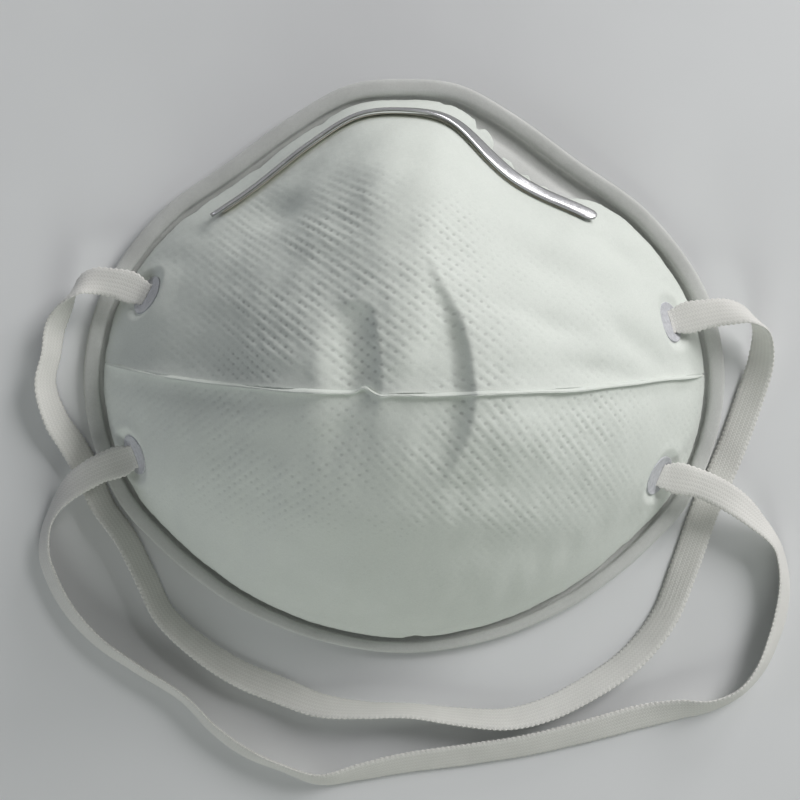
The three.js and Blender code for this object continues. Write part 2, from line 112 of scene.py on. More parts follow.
# x, y, height of the lower edge, and roll in degrees, as the CAD's bands have them.
UPPER_STRAP_ROUTE = [
    (-53.3, 14.9, 8.0, 0), (-56.2, 16.1, 7.6, 1), (-59.4, 16.8, 7.1, 4), (-62.2, 17.1, 6.4, 14),
    (-64.8, 16.6, 5.2, 38), (-67.6, 14.2, 3.2, 84), (-69.8, 11.2, 1.4, 116),
    (-71.5, 7.8, 0.3, 124), (-72.4, 2.6, 0.1, 118), (-73.6, -3.6, 0.1, 122),
    (-71.4, -11.2, 0.1, 141), (-68.4, -15.8, 0.1, 150), (-66.0, -19.9, 0.1, 154),
    (-64.3, -23.4, 0.1, 146), (-61.7, -28.8, 0.1, 134), (-57.2, -35.2, 0.1, 132),
    (-52.8, -43.8, 0.1, 131), (-49.4, -50.8, 0.1, 130), (-42.2, -57.7, 0.1, 136),
    (-34.0, -63.1, 0.1, 147), (-25.7, -66.6, 0.1, 152), (-17.4, -69.6, 0.1, 136),
    (-8.4, -70.5, 0.1, 113), (1.0, -70.6, 0.1, 107), (11.6, -71.9, 0.1, 118),
    (21.5, -72.4, 0.1, 127), (30.5, -70.0, 0.1, 134), (38.9, -65.6, 0.1, 137),
    (47.2, -59.6, 0.1, 143), (53.4, -51.8, 0.1, 150), (57.6, -41.8, 0.1, 159),
    (62.0, -29.6, 0.1, 168), (67.2, -17.7, 0.1, 169), (71.0, -7.0, 0.1, 161),
    (73.2, 1.4, 0.6, 143), (72.6, 7.2, 2.6, 108), (69.3, 10.2, 5.5, 58), (64.6, 10.8, 7.8, 16),
    (59.4, 10.1, 8.8, 2), (54.9, 9.1, 9.1, 0),
]
LOWER_STRAP_ROUTE = [
    (-55.9, -18.8, 5.5, 0), (-58.3, -19.6, 5.4, 1), (-61.6, -20.8, 5.2, 4),
    (-64.7, -22.5, 4.6, 14), (-67.9, -24.7, 3.1, 32), (-70.4, -27.4, 1.4, 54),
    (-72.2, -30.4, 0.4, 66), (-73.4, -33.6, 0.1, 64), (-73.8, -38.6, 0.1, 54),
    (-72.2, -43.8, 0.1, 52), (-68.7, -50.0, 0.1, 53), (-63.2, -56.1, 0.1, 57),
    (-54.3, -62.3, 0.1, 62), (-44.9, -68.4, 0.1, 66), (-38.8, -74.6, 0.1, 62),
    (-32.6, -79.1, 0.1, 58), (-25.4, -82.2, 0.1, 69), (-17.2, -84.8, 0.1, 58),
    (-9.0, -83.3, 0.1, 42), (-0.8, -81.7, 0.1, 34), (11.5, -80.0, 0.1, 30), (23.8, -78.2, 0.1, 32),
    (36.1, -75.4, 0.1, 27), (48.4, -72.2, 0.1, 18), (56.6, -70.5, 0.1, 36), (63.0, -69.7, 0.1, 60),
    (69.0, -66.8, 0.1, 66), (73.2, -61.9, 0.1, 58), (75.8, -56.1, 0.1, 52), (77.5, -50.0, 0.1, 50),
    (78.0, -43.8, 0.1, 56), (76.8, -37.7, 0.2, 66), (74.8, -34.4, 0.9, 60), (71.9, -31.5, 2.5, 44),
    (68.0, -28.3, 4.7, 24), (63.6, -25.6, 6.3, 9), (59.8, -23.9, 7.1, 3), (56.4, -23.0, 7.5, 1),
    (53.5, -22.5, 7.6, 0),
]


# ---- Curves and small helpers ----

def catmull_rom(points, t, closed=False):
    """A centripetal Catmull-Rom curve at parameters t from 0 to 1, as three.js draws it."""
    points = np.asarray(points, float)
    count = len(points)
    at = np.asarray(t, float) * (count if closed else count - 1)
    index = np.floor(at).astype(int)
    if closed:
        index %= count
        padded = points[np.arange(-1, count + 2) % count]
    else:
        index = np.minimum(index, count - 2)
        padded = np.vstack([2 * points[0] - points[1], points, 2 * points[-1] - points[-2]])
    part = (at - np.floor(at) if closed else at - index)[:, None]
    p0, p1, p2, p3 = (padded[index + k] for k in range(4))
    d0, d1, d2 = (
        np.linalg.norm(b - a, axis=1)[:, None] ** 0.5 for a, b in ((p0, p1), (p1, p2), (p2, p3))
    )
    out = ((p1 - p0) / d0 - (p2 - p0) / (d0 + d1) + (p2 - p1) / d1) * d1
    into = ((p2 - p1) / d1 - (p3 - p1) / (d1 + d2) + (p3 - p2) / d2) * d1
    square = part ** 2
    cube = part ** 3
    return (
        p1 + out * part + (3 * (p2 - p1) - 2 * out - into) * square
        + (2 * (p1 - p2) + out + into) * cube
    )


def smoothstep(x, low, high):
    t = np.clip((x - low) / (high - low), 0, 1)
    return t * t * (3 - 2 * t)


def lerp(a, b, t):
    return a + (b - a) * t


def unit(v):
    return v / np.maximum(np.linalg.norm(v, axis=-1, keepdims=True), 1e-12)


def lengths(line):
    """How far along a line each of its points lies."""
    steps = np.linalg.norm(np.diff(line, axis=0), axis=-1)
    return np.concatenate([np.zeros_like(steps[:1]), np.cumsum(steps, axis=0)])


def hump(x, at, wide):
    """A smooth rise to 1 at a place and back to 0, about as wide as wide on each side."""
    return np.exp(-(((x - at) / wide) ** 2))


def hill(x, y, middle, long, short, turn):
    """The same over a plane. turn is the way its long axis runs, in degrees."""
    angle = math.radians(turn)
    x, y = x - middle[0], y - middle[1]
    along = x * math.cos(angle) + y * math.sin(angle)
    across = y * math.cos(angle) - x * math.sin(angle)
    return np.exp(-((along / long) ** 2 + (across / short) ** 2))


def waves(x, y, longest, seed, octaves=3):
    """Smooth seeded noise between about -1 and 1, made of sines in several directions."""
    source = np.random.default_rng(seed)
    total = np.zeros(np.broadcast(x, y).shape)
    weight = 0.0
    for octave in range(octaves):
        length = longest / 1.9 ** octave
        share = 0.55 ** octave
        for _ in range(4):
            angle, phase = source.uniform(0, 2 * math.pi, 2)
            stretch = source.uniform(0.75, 1.3)
            across = (x * math.cos(angle) + y * math.sin(angle)) * 2 * math.pi / (length * stretch)
            total = total + share * np.sin(across + phase)
        weight += 4 * share
    return total / weight * 2


# ---- The rim's outline and the dome ----

OUTLINE_SAMPLES = 4000
half_points = np.array(OUTLINE) * [half_width, half_height]
outline_points = np.vstack([half_points, half_points[-2:0:-1] * [-1, 1]])
outline_line = catmull_rom(outline_points, np.linspace(0, 1, OUTLINE_SAMPLES + 1), closed=True)
outline_along = lengths(outline_line)
rim_length = outline_along[-1]
outline_tangent = unit(np.gradient(outline_line, axis=0))


def on_outline(u, values):
    at = np.mod(u, 1) * rim_length
    return np.stack([np.interp(at, outline_along, values[:, k]) for k in range(2)], axis=-1)


def nose_share(u):
    part = np.mod(u, 1)
    return hump(np.minimum(part, 1 - part) * rim_length, 0, NOSE_SPREAD)


def rim_point(u, inset):
    tangent = unit(on_outline(u, outline_tangent))
    inward = np.stack([tangent[..., 1], -tangent[..., 0]], axis=-1)
    inset = np.broadcast_to(np.asarray(inset, float), np.shape(u))
    return on_outline(u, outline_line) + inward * inset[..., None]


def bead_width(u):
    from_chin = np.abs(np.mod(u, 1) - 0.5) * rim_length
    return BEAD_WIDTH - BEAD_NARROWING * hump(from_chin, 0, CHIN_SPREAD)


def cover_foot(u):
    return rim_point(u, bead_width(u) + GROOVE_WIDTH)


def roundness(u):
    return lerp(DOME_ROUNDNESS, NOSE_ROUNDNESS, nose_share(u))


def dome(u, spread):
    """The cover's outer surface. spread is 0 at the top and 1 at the foot."""
    plan = TOP + (cover_foot(u) - TOP) * spread[..., None]
    height = FOOT_HEIGHT + cup_depth * (1 - spread ** roundness(u))
    return np.concatenate([plan, height[..., None]], axis=-1)


STEP = 1e-3  # in u and in spread, to find slopes with


def dome_normal(u, spread):
    inner = np.maximum(spread, 0.02)
    round_it = dome(u + STEP, inner) - dome(u - STEP, inner)
    down = dome(u, inner + STEP) - dome(u, inner - STEP)
    normal = unit(np.cross(round_it, down))
    normal *= np.sign(normal[..., 2:])
    return unit(lerp(np.array([0, 0, 1.0]), normal, smoothstep(spread, 0, 0.04)[..., None]))


def lifted(points):
    """Adds the rise of the whole mask over the bridge of the nose."""
    share = np.clip(points[..., 1] / half_height, 0, 1)
    out = points.copy()
    out[..., 2] += NOSE_LIFT * smoothstep(share, NOSE_LIFT_START, 1)
    return out


def dome_offset(u, spread, offset):
    return dome(u, spread) + dome_normal(u, spread) * np.asarray(offset)[..., None]


# The directions from the dome's top in which the cover's foot lies, and how far off it is.
turn_samples = np.linspace(0, 1, 1441)
foot_from_top = cover_foot(turn_samples) - TOP
turn_angles = np.unwrap(np.arctan2(foot_from_top[:, 0], foot_from_top[:, 1]))
foot_reach = np.linalg.norm(foot_from_top, axis=1)


def turn_of(angle):
    """The place round the rim in a direction from the dome's top, clockwise from the nose."""
    first = turn_angles[0]
    return np.interp(np.mod(angle - first, 2 * math.pi) + first, turn_angles, turn_samples)


def over(x, y):
    """The place round the rim and down the dome of the points over x, y."""
    u = turn_of(np.arctan2(x - TOP[0], y - TOP[1]))
    return u, np.hypot(x - TOP[0], y - TOP[1]) / np.interp(u, turn_samples, foot_reach)


# The flat cloth that the dome was moulded from: distances from the top halfway between
# those seen from above and those along the surface.
SPREADS = np.linspace(0, 1.04, 261)
plan_reach = foot_reach[:, None] * SPREADS
heights = cup_depth * (1 - SPREADS ** roundness(turn_samples)[:, None])
steps = np.hypot(np.diff(plan_reach), np.diff(heights))
cloth_reach = (plan_reach + np.cumsum(np.pad(steps, ((0, 0), (1, 0))), axis=1)) / 2


def from_cloth(a, b):
    """The place round the rim and down the dome of points of the flat cloth."""
    u = turn_of(np.arctan2(a, b))
    row = u * (len(turn_samples) - 1)
    low = np.minimum(row.astype(int), len(turn_samples) - 2)
    part = row - low
    reach = np.hypot(a, b)
    spread = np.zeros_like(reach)
    order = np.argsort(low, kind="stable")
    edges = np.searchsorted(low[order], np.arange(len(turn_samples)))
    for k in range(len(turn_samples) - 1):
        here = order[edges[k]:edges[k + 1]]
        if len(here):
            first = np.interp(reach[here], cloth_reach[k], SPREADS)
            second = np.interp(reach[here], cloth_reach[k + 1], SPREADS)
            spread[here] = lerp(first, second, part[here])
    return u, spread


seam_line = catmull_rom(np.array(SEAM) * [half_width, half_height], np.linspace(0, 1, 1200))
PUCKERS = [(-7.2, 1.4, 1.0), (-3.8, 1.6, -0.4)]  # x, half width and rise


def seam_y(x):
    """The seam's line, with a small pucker left of the middle."""
    kink = sum(rise * hump(x, at, wide) for at, wide, rise in PUCKERS)
    return np.interp(x, seam_line[:, 0], seam_line[:, 1]) + kink


# ---- Making meshes ----

def new_object(name, points, faces, uv=None):
    """A smooth-shaded mesh object from points in millimetres. uv holds a pair for each point."""
    mesh = bpy.data.meshes.new(name)
    mesh.from_pydata((np.reshape(points, (-1, 3)) * MM).tolist(), [], faces)
    mesh.validate()
    if uv is not None:
        layer = mesh.uv_layers.new(name="cloth")
        corner = np.zeros(len(mesh.loops), np.int32)
        mesh.loops.foreach_get("vertex_index", corner)
        layer.data.foreach_set("uv", np.reshape(uv, (-1, 2)).astype(np.float32)[corner].ravel())
    mesh.shade_smooth()
    piece = bpy.data.objects.new(name, mesh)
    bpy.context.scene.collection.objects.link(piece)
    return piece


def grid_faces(rows, columns, wrap=False):
    """Quads between neighbouring rows of points. wrap joins each row's end to its start."""
    i, j = np.meshgrid(
        np.arange(rows - 1), np.arange(columns if wrap else columns - 1), indexing="ij"
    )
    beside = (j + 1) % columns
    here, below = i * columns, (i + 1) * columns
    return np.stack([here + j, below + j, below + beside, here + beside], axis=-1).reshape(-1, 4)


def cut(points, triangles, field):
    """The part of a flat triangle mesh where field is positive, cut cleanly along its zero line."""
    value = field(points)
    inside = value > 0
    flags = inside[triangles]
    count = flags.sum(axis=1)
    pieces = [triangles[count == 3]]
    edge_index = {}
    new_points = []

    def crossing(i, j):
        key = (i, j) if i < j else (j, i)
        if key not in edge_index:
            t = value[i] / (value[i] - value[j])
            edge_index[key] = len(points) + len(new_points)
            new_points.append(points[i] + (points[j] - points[i]) * t)
        return edge_index[key]

    extra = []
    for triangle in triangles[(count == 1) | (count == 2)]:
        flag = inside[triangle]
        odd = int(np.argmax(flag)) if flag.sum() == 1 else int(np.argmin(flag))
        a, b, c = np.roll(triangle, -odd)
        if flag.sum() == 1:
            extra.append((a, crossing(a, b), crossing(a, c)))
        else:
            ab, ac = crossing(b, a), crossing(c, a)
            extra += [(ab, b, c), (ab, c, ac)]
    if extra:
        pieces.append(np.array(extra))
        points = np.vstack([points, np.array(new_points)])
    triangles = np.vstack(pieces)
    used, packed = np.unique(triangles, return_inverse=True)
    return points[used], packed.reshape(-1, 3)


def open_edges(triangles):
    """The directed edges that only one triangle uses."""
    edges = np.vstack([triangles[:, [0, 1]], triangles[:, [1, 2]], triangles[:, [2, 0]]])
    keys = np.sort(edges, axis=1)
    _, index, uses = np.unique(keys, axis=0, return_index=True, return_counts=True)
    return edges[index[uses == 1]]


def tube(rings, side=1):
    """Faces of a tube through rings of points, all of one count, with its two ends closed. side is
    -1 to turn the faces over."""
    rows, columns = np.shape(rings)[:2]
    faces = grid_faces(rows, columns, wrap=True).tolist()
    faces.append(list(range(columns)))
    faces.append(list(range(rows * columns - 1, (rows - 1) * columns - 1, -1)))
    return [face[::side] for face in faces]


# ---- The camera ----

CAMERA_HEIGHT = 300
VIEW_WIDTH = 165.6  # what the picture takes in at the height of the rim
CAMERA_OVER = (-0.83, -6.93)
SENSOR = 36

camera_data = bpy.data.cameras.new("camera")
camera_data.sensor_width = SENSOR
camera_data.lens = SENSOR * CAMERA_HEIGHT / VIEW_WIDTH
camera_data.clip_start = 0.01
camera_data.clip_end = 10
camera = bpy.data.objects.new("camera", camera_data)
camera.location = (CAMERA_OVER[0] * MM, CAMERA_OVER[1] * MM, CAMERA_HEIGHT * MM)
bpy.context.scene.collection.objects.link(camera)
bpy.context.scene.camera = camera
bpy.context.scene.view_settings.view_transform = "Standard"


# ---- Materials ----

# The materials scale the pins' painted shade by this attribute.
PIN_STRENGTH = "pin_strength"  # the mesh attribute that says how strongly pins show
RIB_PITCH = 0.86
LOOP_PITCH = 0.62


class Nodes:
    """The node tree of a new material or world, with short calls to add nodes to it."""

    def __init__(self, owner, shader="Principled BSDF"):
        owner.use_nodes = True
        self.owner = owner
        self.tree = owner.node_tree
        self.shader = self.tree.nodes[shader]

    def fill(self, socket, value):
        """Links a socket to another node's output, or sets it to a number, place or colour."""
        if isinstance(value, bpy.types.NodeSocket):
            self.tree.links.new(value, socket)
        elif value is not None:
            socket.default_value = (*value, 1) if socket.type == "RGBA" else value

    def add(self, kind, *values, **settings):
        """A node whose first inputs are values. settings name its options or other inputs."""
        node = self.tree.nodes.new("ShaderNode" + kind)
        for name, value in settings.items():
            if hasattr(node, name):
                setattr(node, name, value)
            else:
                self.fill(node.inputs[name], value)
        for socket, value in zip(node.inputs, values):
            self.fill(socket, value)
        return node

    def math(self, operation, *values):
        return self.add("Math", *values, operation=operation).outputs[0]

    def weighted(self, a, weight_a, b, weight_b):
        """The sum of two values, each times its weight."""
        a, b = self.math("MULTIPLY", a, weight_a), self.math("MULTIPLY", b, weight_b)
        return self.math("ADD", a, b)

    def scaled(self, coordinates, *scales):
        return self.add("VectorMath", coordinates, scales, operation="MULTIPLY").outputs[0]

    def noise(self, coordinates, scale, detail=3.0, roughness=0.6):
        node = self.add("TexNoise", coordinates, Scale=scale, Detail=detail, Roughness=roughness)
        return node.outputs["Fac"]

    def range(self, value, *limits):
        """value carried from its own low and high limits to another two."""
        return self.add("MapRange", value, *limits).outputs[0]

    def ramp(self, value, low, high, dark, light):
        """A colour from dark to light as value goes from low to high."""
        node = self.add("ValToRGB", self.range(value, low, high, 0, 1))
        for element, colour in zip(node.color_ramp.elements, (dark, light)):
            element.color = (*colour, 1)
        return node.outputs["Color"]

    def mix(self, kind, *values):
        return self.add("MixRGB", *values, blend_type=kind).outputs[0]

    def bump(self, height, distance, strength, below=None):
        settings = {"Height": height, "Distance": distance * MM, "Strength": strength}
        return self.add("Bump", **settings, Normal=below).outputs["Normal"]

    def finish(self, colour, rough, normal=None, **others):
        """Fills the material's shader and gives the material."""
        inputs = {"Base Color": colour, "Roughness": rough, "Normal": normal, **others}
        for name, value in inputs.items():
            self.fill(self.shader.inputs[name.replace("_", " ")], value)
        return self.owner

    def cloth(self):
        return self.add("UVMap", uv_map="cloth").outputs["UV"]

    def place(self):
        """Object coordinates, in millimetres."""
        return self.scaled(self.add("TexCoord").outputs["Object"], 1000, 1000, 1000)

    def background_rays(self):
        """1 for the rays that show the background: the camera's, and those of metal and glass."""
        rays = self.add("LightPath").outputs
        shown = self.math("MAXIMUM", rays["Is Camera Ray"], rays["Is Glossy Ray"])
        return self.math("MAXIMUM", shown, rays["Is Transmission Ray"])


def nonwoven(name, light, dark, pin_shade=None, fibre_depth=0.05):
    """Matted fibres: a mottled colour and a fine matted bump. pin_shade is painted shade that
    darkens the dimples of the embossed pins, which the cloth coordinates carry as whole numbers."""
    n = Nodes(bpy.data.materials.new(name))
    place = n.place()
    patches = n.noise(place, 0.09, 2.0)
    mottle = n.noise(place, 1.3, 4.0, 0.65)
    fibres = n.noise(n.scaled(place, 1.0, 3.2, 1.0), 2.6, 5.0, 0.7)
    crossed = n.noise(n.scaled(place, 3.4, 1.0, 1.0), 2.2, 5.0, 0.7)
    mat = n.math("ADD", fibres, crossed)
    colour = n.ramp(n.weighted(patches, 0.6, mottle, 0.4), 0.3, 0.7, dark, light)
    colour = n.mix("MULTIPLY", 1.0, colour, n.range(mat, 0.7, 1.3, 0.93, 1.04))
    if pin_shade is not None:
        squares = []
        for part in n.add("SeparateXYZ", n.cloth()).outputs[:2]:
            part = n.math("SUBTRACT", n.math("FRACT", n.math("ADD", part, 0.5)), 0.5)
            squares.append(n.math("MULTIPLY", part, part))
        # Painted shade: the colour darkens near each pin's middle, where the embossed dimples lie.
        shade = n.range(n.math("SQRT", n.math("ADD", *squares)), 0.10, 0.26, pin_shade, 1.0)
        strength = n.add("Attribute", attribute_name=PIN_STRENGTH).outputs["Fac"]
        colour = n.mix("MULTIPLY", n.math("MINIMUM", strength, 1.0), colour, shade)
    return n.finish(
        colour, n.range(mottle, 0.3, 0.7, 0.82, 0.95), n.bump(mat, fibre_depth, 0.7),
        Sheen_Weight=0.12, Sheen_Roughness=0.5, Specular_IOR_Level=0.25,
    )


def knit(name, light, dark):
    """Flat knitted elastic. The cloth coordinates are millimetres along and across the band."""
    n = Nodes(bpy.data.materials.new(name))
    along, across = n.add("SeparateXYZ", n.cloth()).outputs[:2]
    repeat = n.math("FRACT", n.math("MULTIPLY", across, 1 / RIB_PITCH))
    fold = n.math("ABSOLUTE", n.math("SUBTRACT", repeat, 0.5))
    slant = n.weighted(along, 1 / LOOP_PITCH, fold, 1.6)
    loops = n.range(n.math("SINE", n.math("MULTIPLY", slant, 2 * math.pi)), -1, 1, 0, 1)
    height = n.weighted(loops, 0.6, n.math("SUBTRACT", 1.0, n.math("MULTIPLY", fold, 2.0)), 0.4)
    fuzz = n.noise(n.scaled(n.cloth(), 3.0, 9.0, 1.0), 2.0, 4.0, 0.7)
    worn = n.noise(n.cloth(), 0.12)
    # Painted shade: the colour darkens where the loops and the ribs' folds lie low, mixed with the
    # fuzz's own tone.
    colour = n.ramp(n.weighted(height, 0.5, fuzz, 0.5), 0.2, 0.8, dark, light)
    colour = n.mix("MULTIPLY", 1.0, colour, n.range(worn, 0.3, 0.7, 0.94, 1.02))
    normal = n.bump(fuzz, 0.04, 0.5, n.bump(height, 0.06, 0.6))
    return n.finish(
        colour, n.range(fuzz, 0.3, 0.7, 0.72, 0.9), normal,
        Sheen_Weight=0.15, Sheen_Roughness=0.4, Specular_IOR_Level=0.35,
    )


def metal(name, light, dark):
    """Soft aluminium strip, faintly drawn along its length, with a few handling marks."""
    n = Nodes(bpy.data.materials.new(name))
    drawn = n.noise(n.scaled(n.cloth(), 0.12, 6.0, 1.0), 1.6)
    marks = n.noise(n.cloth(), 0.35, 2.0)
    colour = n.ramp(drawn, 0.3, 0.7, dark, light)
    rough = n.math("ADD", n.range(drawn, 0.3, 0.7, 0.2, 0.27), n.range(marks, 0.4, 0.75, 0.0, 0.05))
    return n.finish(colour, rough, n.bump(marks, 0.12, 0.4), Metallic=1.0)


def fused(name, light, dark):
    """Fibres melted to a film: smoother and greyer than the cloth round it."""
    n = Nodes(bpy.data.materials.new(name))
    cells = n.noise(n.place(), 1.1)
    grain = n.noise(n.place(), 4.5, 4.0)
    colour = n.ramp(cells, 0.35, 0.65, dark, light)
    colour = n.mix("MULTIPLY", 1.0, colour, n.range(grain, 0.3, 0.7, 0.9, 1.05))
    normal = n.bump(grain, 0.05, 0.6, n.bump(cells, 0.15, 0.6))
    return n.finish(colour, n.range(cells, 0.3, 0.7, 0.34, 0.55), normal)


def open_foam(name, light, dark):
    """Fine open-cell foam."""
    n = Nodes(bpy.data.materials.new(name))
    cells = n.add("TexVoronoi", n.place(), Scale=1.9)
    hole = n.range(cells.outputs["Distance"], 0.1, 0.55, 0, 1)
    fine = n.noise(n.place(), 3.5, 4.0)
    # Painted shade: the colour darkens in the pores, which the bump sinks as pits, mixed with the
    # fine noise's own tone.
    tone = n.math("MULTIPLY", hole, n.range(fine, 0.25, 0.7, 0.6, 1.0))
    colour = n.ramp(tone, 0, 1, dark, light)
    return n.finish(colour, n.range(fine, 0.3, 0.7, 0.86, 0.97), n.bump(hole, 0.25, 0.8))


def hot_melt(name, light, dark):
    """A thin line of glue."""
    n = Nodes(bpy.data.materials.new(name))
    blobs = n.noise(n.place(), 0.5, 2.0)
    colour = n.ramp(blobs, 0.3, 0.7, dark, light)
    return n.finish(colour, n.range(blobs, 0.3, 0.7, 0.25, 0.45), n.bump(blobs, 0.3, 0.6))


# The last number of the cover and of the liner is the painted shade in their pins' dimples.
cover_look = nonwoven("embossed_cover", (0.80, 0.84, 0.79), (0.75, 0.79, 0.74), 0.80)
# The shell's grey, darker than the cover's, is partly its own tone and partly painted shade on the
# bead, the groove and the wall bared under the torn edge.
shell_look = nonwoven(
    "moulded_nonwoven", (0.70, 0.71, 0.69), (0.60, 0.61, 0.59), fibre_depth=0.08
)
filter_look = nonwoven(
    "melt_blown_filter", (0.86, 0.87, 0.85), (0.80, 0.81, 0.79), fibre_depth=0.04
)
liner_look = nonwoven("soft_liner", (0.84, 0.85, 0.83), (0.78, 0.79, 0.77), 0.86)
strap_look = knit("knitted_elastic", (0.85, 0.845, 0.81), (0.71, 0.705, 0.67))
clip_look = metal("nose_strip_aluminium", (0.50, 0.50, 0.50), (0.34, 0.34, 0.35))
weld_look = fused("fused_weld", (0.64, 0.65, 0.68), (0.53, 0.54, 0.57))
foam_look = open_foam("grey_foam", (0.23, 0.24, 0.25), (0.09, 0.095, 0.10))
glue_look = hot_melt("hot_melt", (0.78, 0.75, 0.64), (0.68, 0.65, 0.54))


def dress(piece, look, node):
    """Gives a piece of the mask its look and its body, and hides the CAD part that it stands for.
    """
    piece.data.materials.append(look)
    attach(piece, "mask")
    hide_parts(node)


# ---- Welds ----

WELD_NAMES = [
    f"strap_weld_{height}_{side}" for height in ("upper", "lower") for side in ("left", "right")
]
WELD_DEPTH = 1.05  # how far the middle of a weld's box lies under the cover
HOLE_RADIUS = 4.0
FILM_RADIUS = 4.15  # the film's edge is melted in under the cover

weld_places = {}
for weld_name in WELD_NAMES:
    middle = np.mean(box_mm(weld_name), axis=0)[:2]
    u, spread = over(*middle[:, None])
    for _ in range(4):
        found = lifted(dome_offset(u, spread, np.array([-WELD_DEPTH])))[0, :2]
        u, spread = over(*(dome(u, spread)[0, :2] + middle - found)[:, None])
    weld_places[weld_name] = (dome(u, spread)[0], dome_normal(u, spread)[0])


def weld_distance(points, weld_name):
    """How far points are from a weld's axis."""
    centre, normal = weld_places[weld_name]
    away = points - centre
    off_axis = away - normal * (away @ normal)[..., None]
    return np.linalg.norm(off_axis, axis=-1)


# ---- Straps ----

STRAP_WIDTH = 6.0
STRAP_THICKNESS = 0.9
STRAP_EDGE = 0.25
STRAP_SPACING = 0.3  # between a strap's rings of points
STRAP_COLUMNS = 20  # points across one face of a strap
SERRATION = 0.26  # how far the edge loops stand out
SERRATION_PITCH = 1.05
RIPPLE = 0.015  # how far the knit's loops stand out of the faces
RIB_DEPTH = 0.04
RIB_TURNS = 6.5
CUPPING = 0.10
SMOOTHING = 60  # a strap's own steps between two points of its route, before it is spaced evenly
ROOT_STEPS = 16  # rings of points that carry a strap's end into its weld
ROOT_RUN = 6  # and how many of the strap's own rings say which way it runs there
ROOT_LEAD = 1.6  # how far the strap runs straight on before it bends in
ROOT_REACH = 0.25  # how far off the weld's middle it ends, as a share of where it began
ROOT_DEPTH = 0.85
ROOT_THIN = 0.3  # the pressed end's thickness and width, as shares of the strap's
ROOT_NARROW = 0.8
FLARE = 0.12  # how much the strap widens just before that
FLARE_AT = 4.2


def band_frames(route):
    """Middle, width direction and thickness direction along a band, at even spacing."""
    route = np.array(route, float)
    spans = len(route) - 1
    t = np.linspace(0, 1, spans * SMOOTHING + 1)
    plan = catmull_rom(route[:, :2], t)
    lift = np.interp(t * spans, np.arange(spans + 1), route[:, 2])
    roll = np.radians(np.interp(t * spans, np.arange(spans + 1), route[:, 3]))
    soften = np.hanning(2 * SMOOTHING + 1)
    soften /= soften.sum()
    lift, roll = (
        np.convolve(np.pad(v, SMOOTHING, mode="edge"), soften, mode="valid") for v in (lift, roll)
    )
    half, thick, edge = STRAP_WIDTH / 2, STRAP_THICKNESS / 2, STRAP_EDGE
    corners = [(half, thick - edge), (half - edge, thick)]
    corners += [(a, -b) for a, b in corners]
    corners += [(-a, b) for a, b in corners]
    rise = np.max([a * np.sin(roll) + b * np.cos(roll) for a, b in corners], axis=0)
    middle = np.column_stack([plan, lift + rise])
    along = lengths(middle)
    at = np.linspace(0, along[-1], int(along[-1] / STRAP_SPACING) + 1)
    middle = np.stack([np.interp(at, along, middle[:, k]) for k in range(3)], axis=1)
    roll = np.interp(at, along, roll)
    tangent = unit(np.gradient(middle, axis=0))
    left = unit(np.cross([0, 0, 1.0], tangent))
    upward = np.cross(tangent, left)
    across = left * np.cos(roll)[:, None] + upward * np.sin(roll)[:, None]
    return middle, across, np.cross(tangent, across)


def into_weld(middle, across, out, weld):
    """Carries one end of a band on into its weld: the end comes first in each list."""
    centre, normal = weld
    start = middle[0]
    away = start - centre
    goal = centre + (away - normal * (away @ normal)) * ROOT_REACH - normal * ROOT_DEPTH
    bend = start + unit(start - middle[ROOT_RUN]) * ROOT_LEAD
    t = np.linspace(1, 0, ROOT_STEPS, endpoint=False)[:, None]
    path = start * (1 - t) ** 2 + 2 * bend * t * (1 - t) + goal * t ** 2
    ease = t * t * (3 - 2 * t)
    flat = unit(across[0] - normal * (across[0] @ normal))
    turned = unit(lerp(across[0], flat, ease))
    risen = unit(lerp(out[0], normal * np.sign(out[0] @ normal), ease))
    return np.vstack([path, middle]), np.vstack([turned, across]), np.vstack([risen, out])


def strap(name, route, seed, welds):
    """A knitted band with ribbed faces and looped edges, flared and pressed thin at its welds."""
    frames = band_frames(route)
    centres = frames[0]
    for weld in welds:
        frames = [v[::-1] for v in into_weld(*frames, weld)]
    middle, across, out = frames
    at = lengths(middle)
    length = at[-1]
    from_end = np.minimum(at, length - at)
    pressed = lerp(ROOT_THIN, 1.0, smoothstep(from_end, 0.5, 6.5))
    flare = 1 + FLARE * hump(from_end, FLARE_AT, 2.6)
    flare = flare * lerp(ROOT_NARROW, 1.0, smoothstep(from_end, 0.0, 3.5))
    phases = np.random.default_rng(seed).uniform(0, 2 * math.pi, 2)
    c = np.linspace(-1, 1, STRAP_COLUMNS)
    face = STRAP_THICKNESS / 2 * (1 - np.abs(c) ** 6 * 0.75)
    face = face - RIB_DEPTH * (1 + np.cos(c * RIB_TURNS * math.pi)) / 2
    slack = CUPPING * waves(at, 0 * at, 14, seed + 5, 2)
    rings, uv = [], []
    for i in range(len(at)):
        loops = SERRATION / 2 * np.sin(at[i] * 2 * math.pi / SERRATION_PITCH + phases)
        wide = (STRAP_WIDTH / 2 - SERRATION / 2) * flare[i] + loops
        a = np.where(c < 0, c * wide[0], c * wide[1])
        ripple = RIPPLE * math.sin(at[i] * 2 * math.pi / LOOP_PITCH)
        cupped = slack[i] * (c ** 2 - 0.4)
        upper = face * pressed[i] + ripple
        section = np.concatenate([
            np.stack([a, upper + cupped], axis=1),
            np.stack([a[::-1], (cupped - upper)[::-1]], axis=1),
        ])
        rings.append(middle[i] + section[:, :1] * across[i] + section[:, 1:] * out[i])
        uv.append(np.stack([np.full(len(section), at[i]), section[:, 0]], axis=1))
    piece = new_object(name, rings, tube(rings), uv)
    piece.data.materials.append(strap_look)
    return piece, centres, length


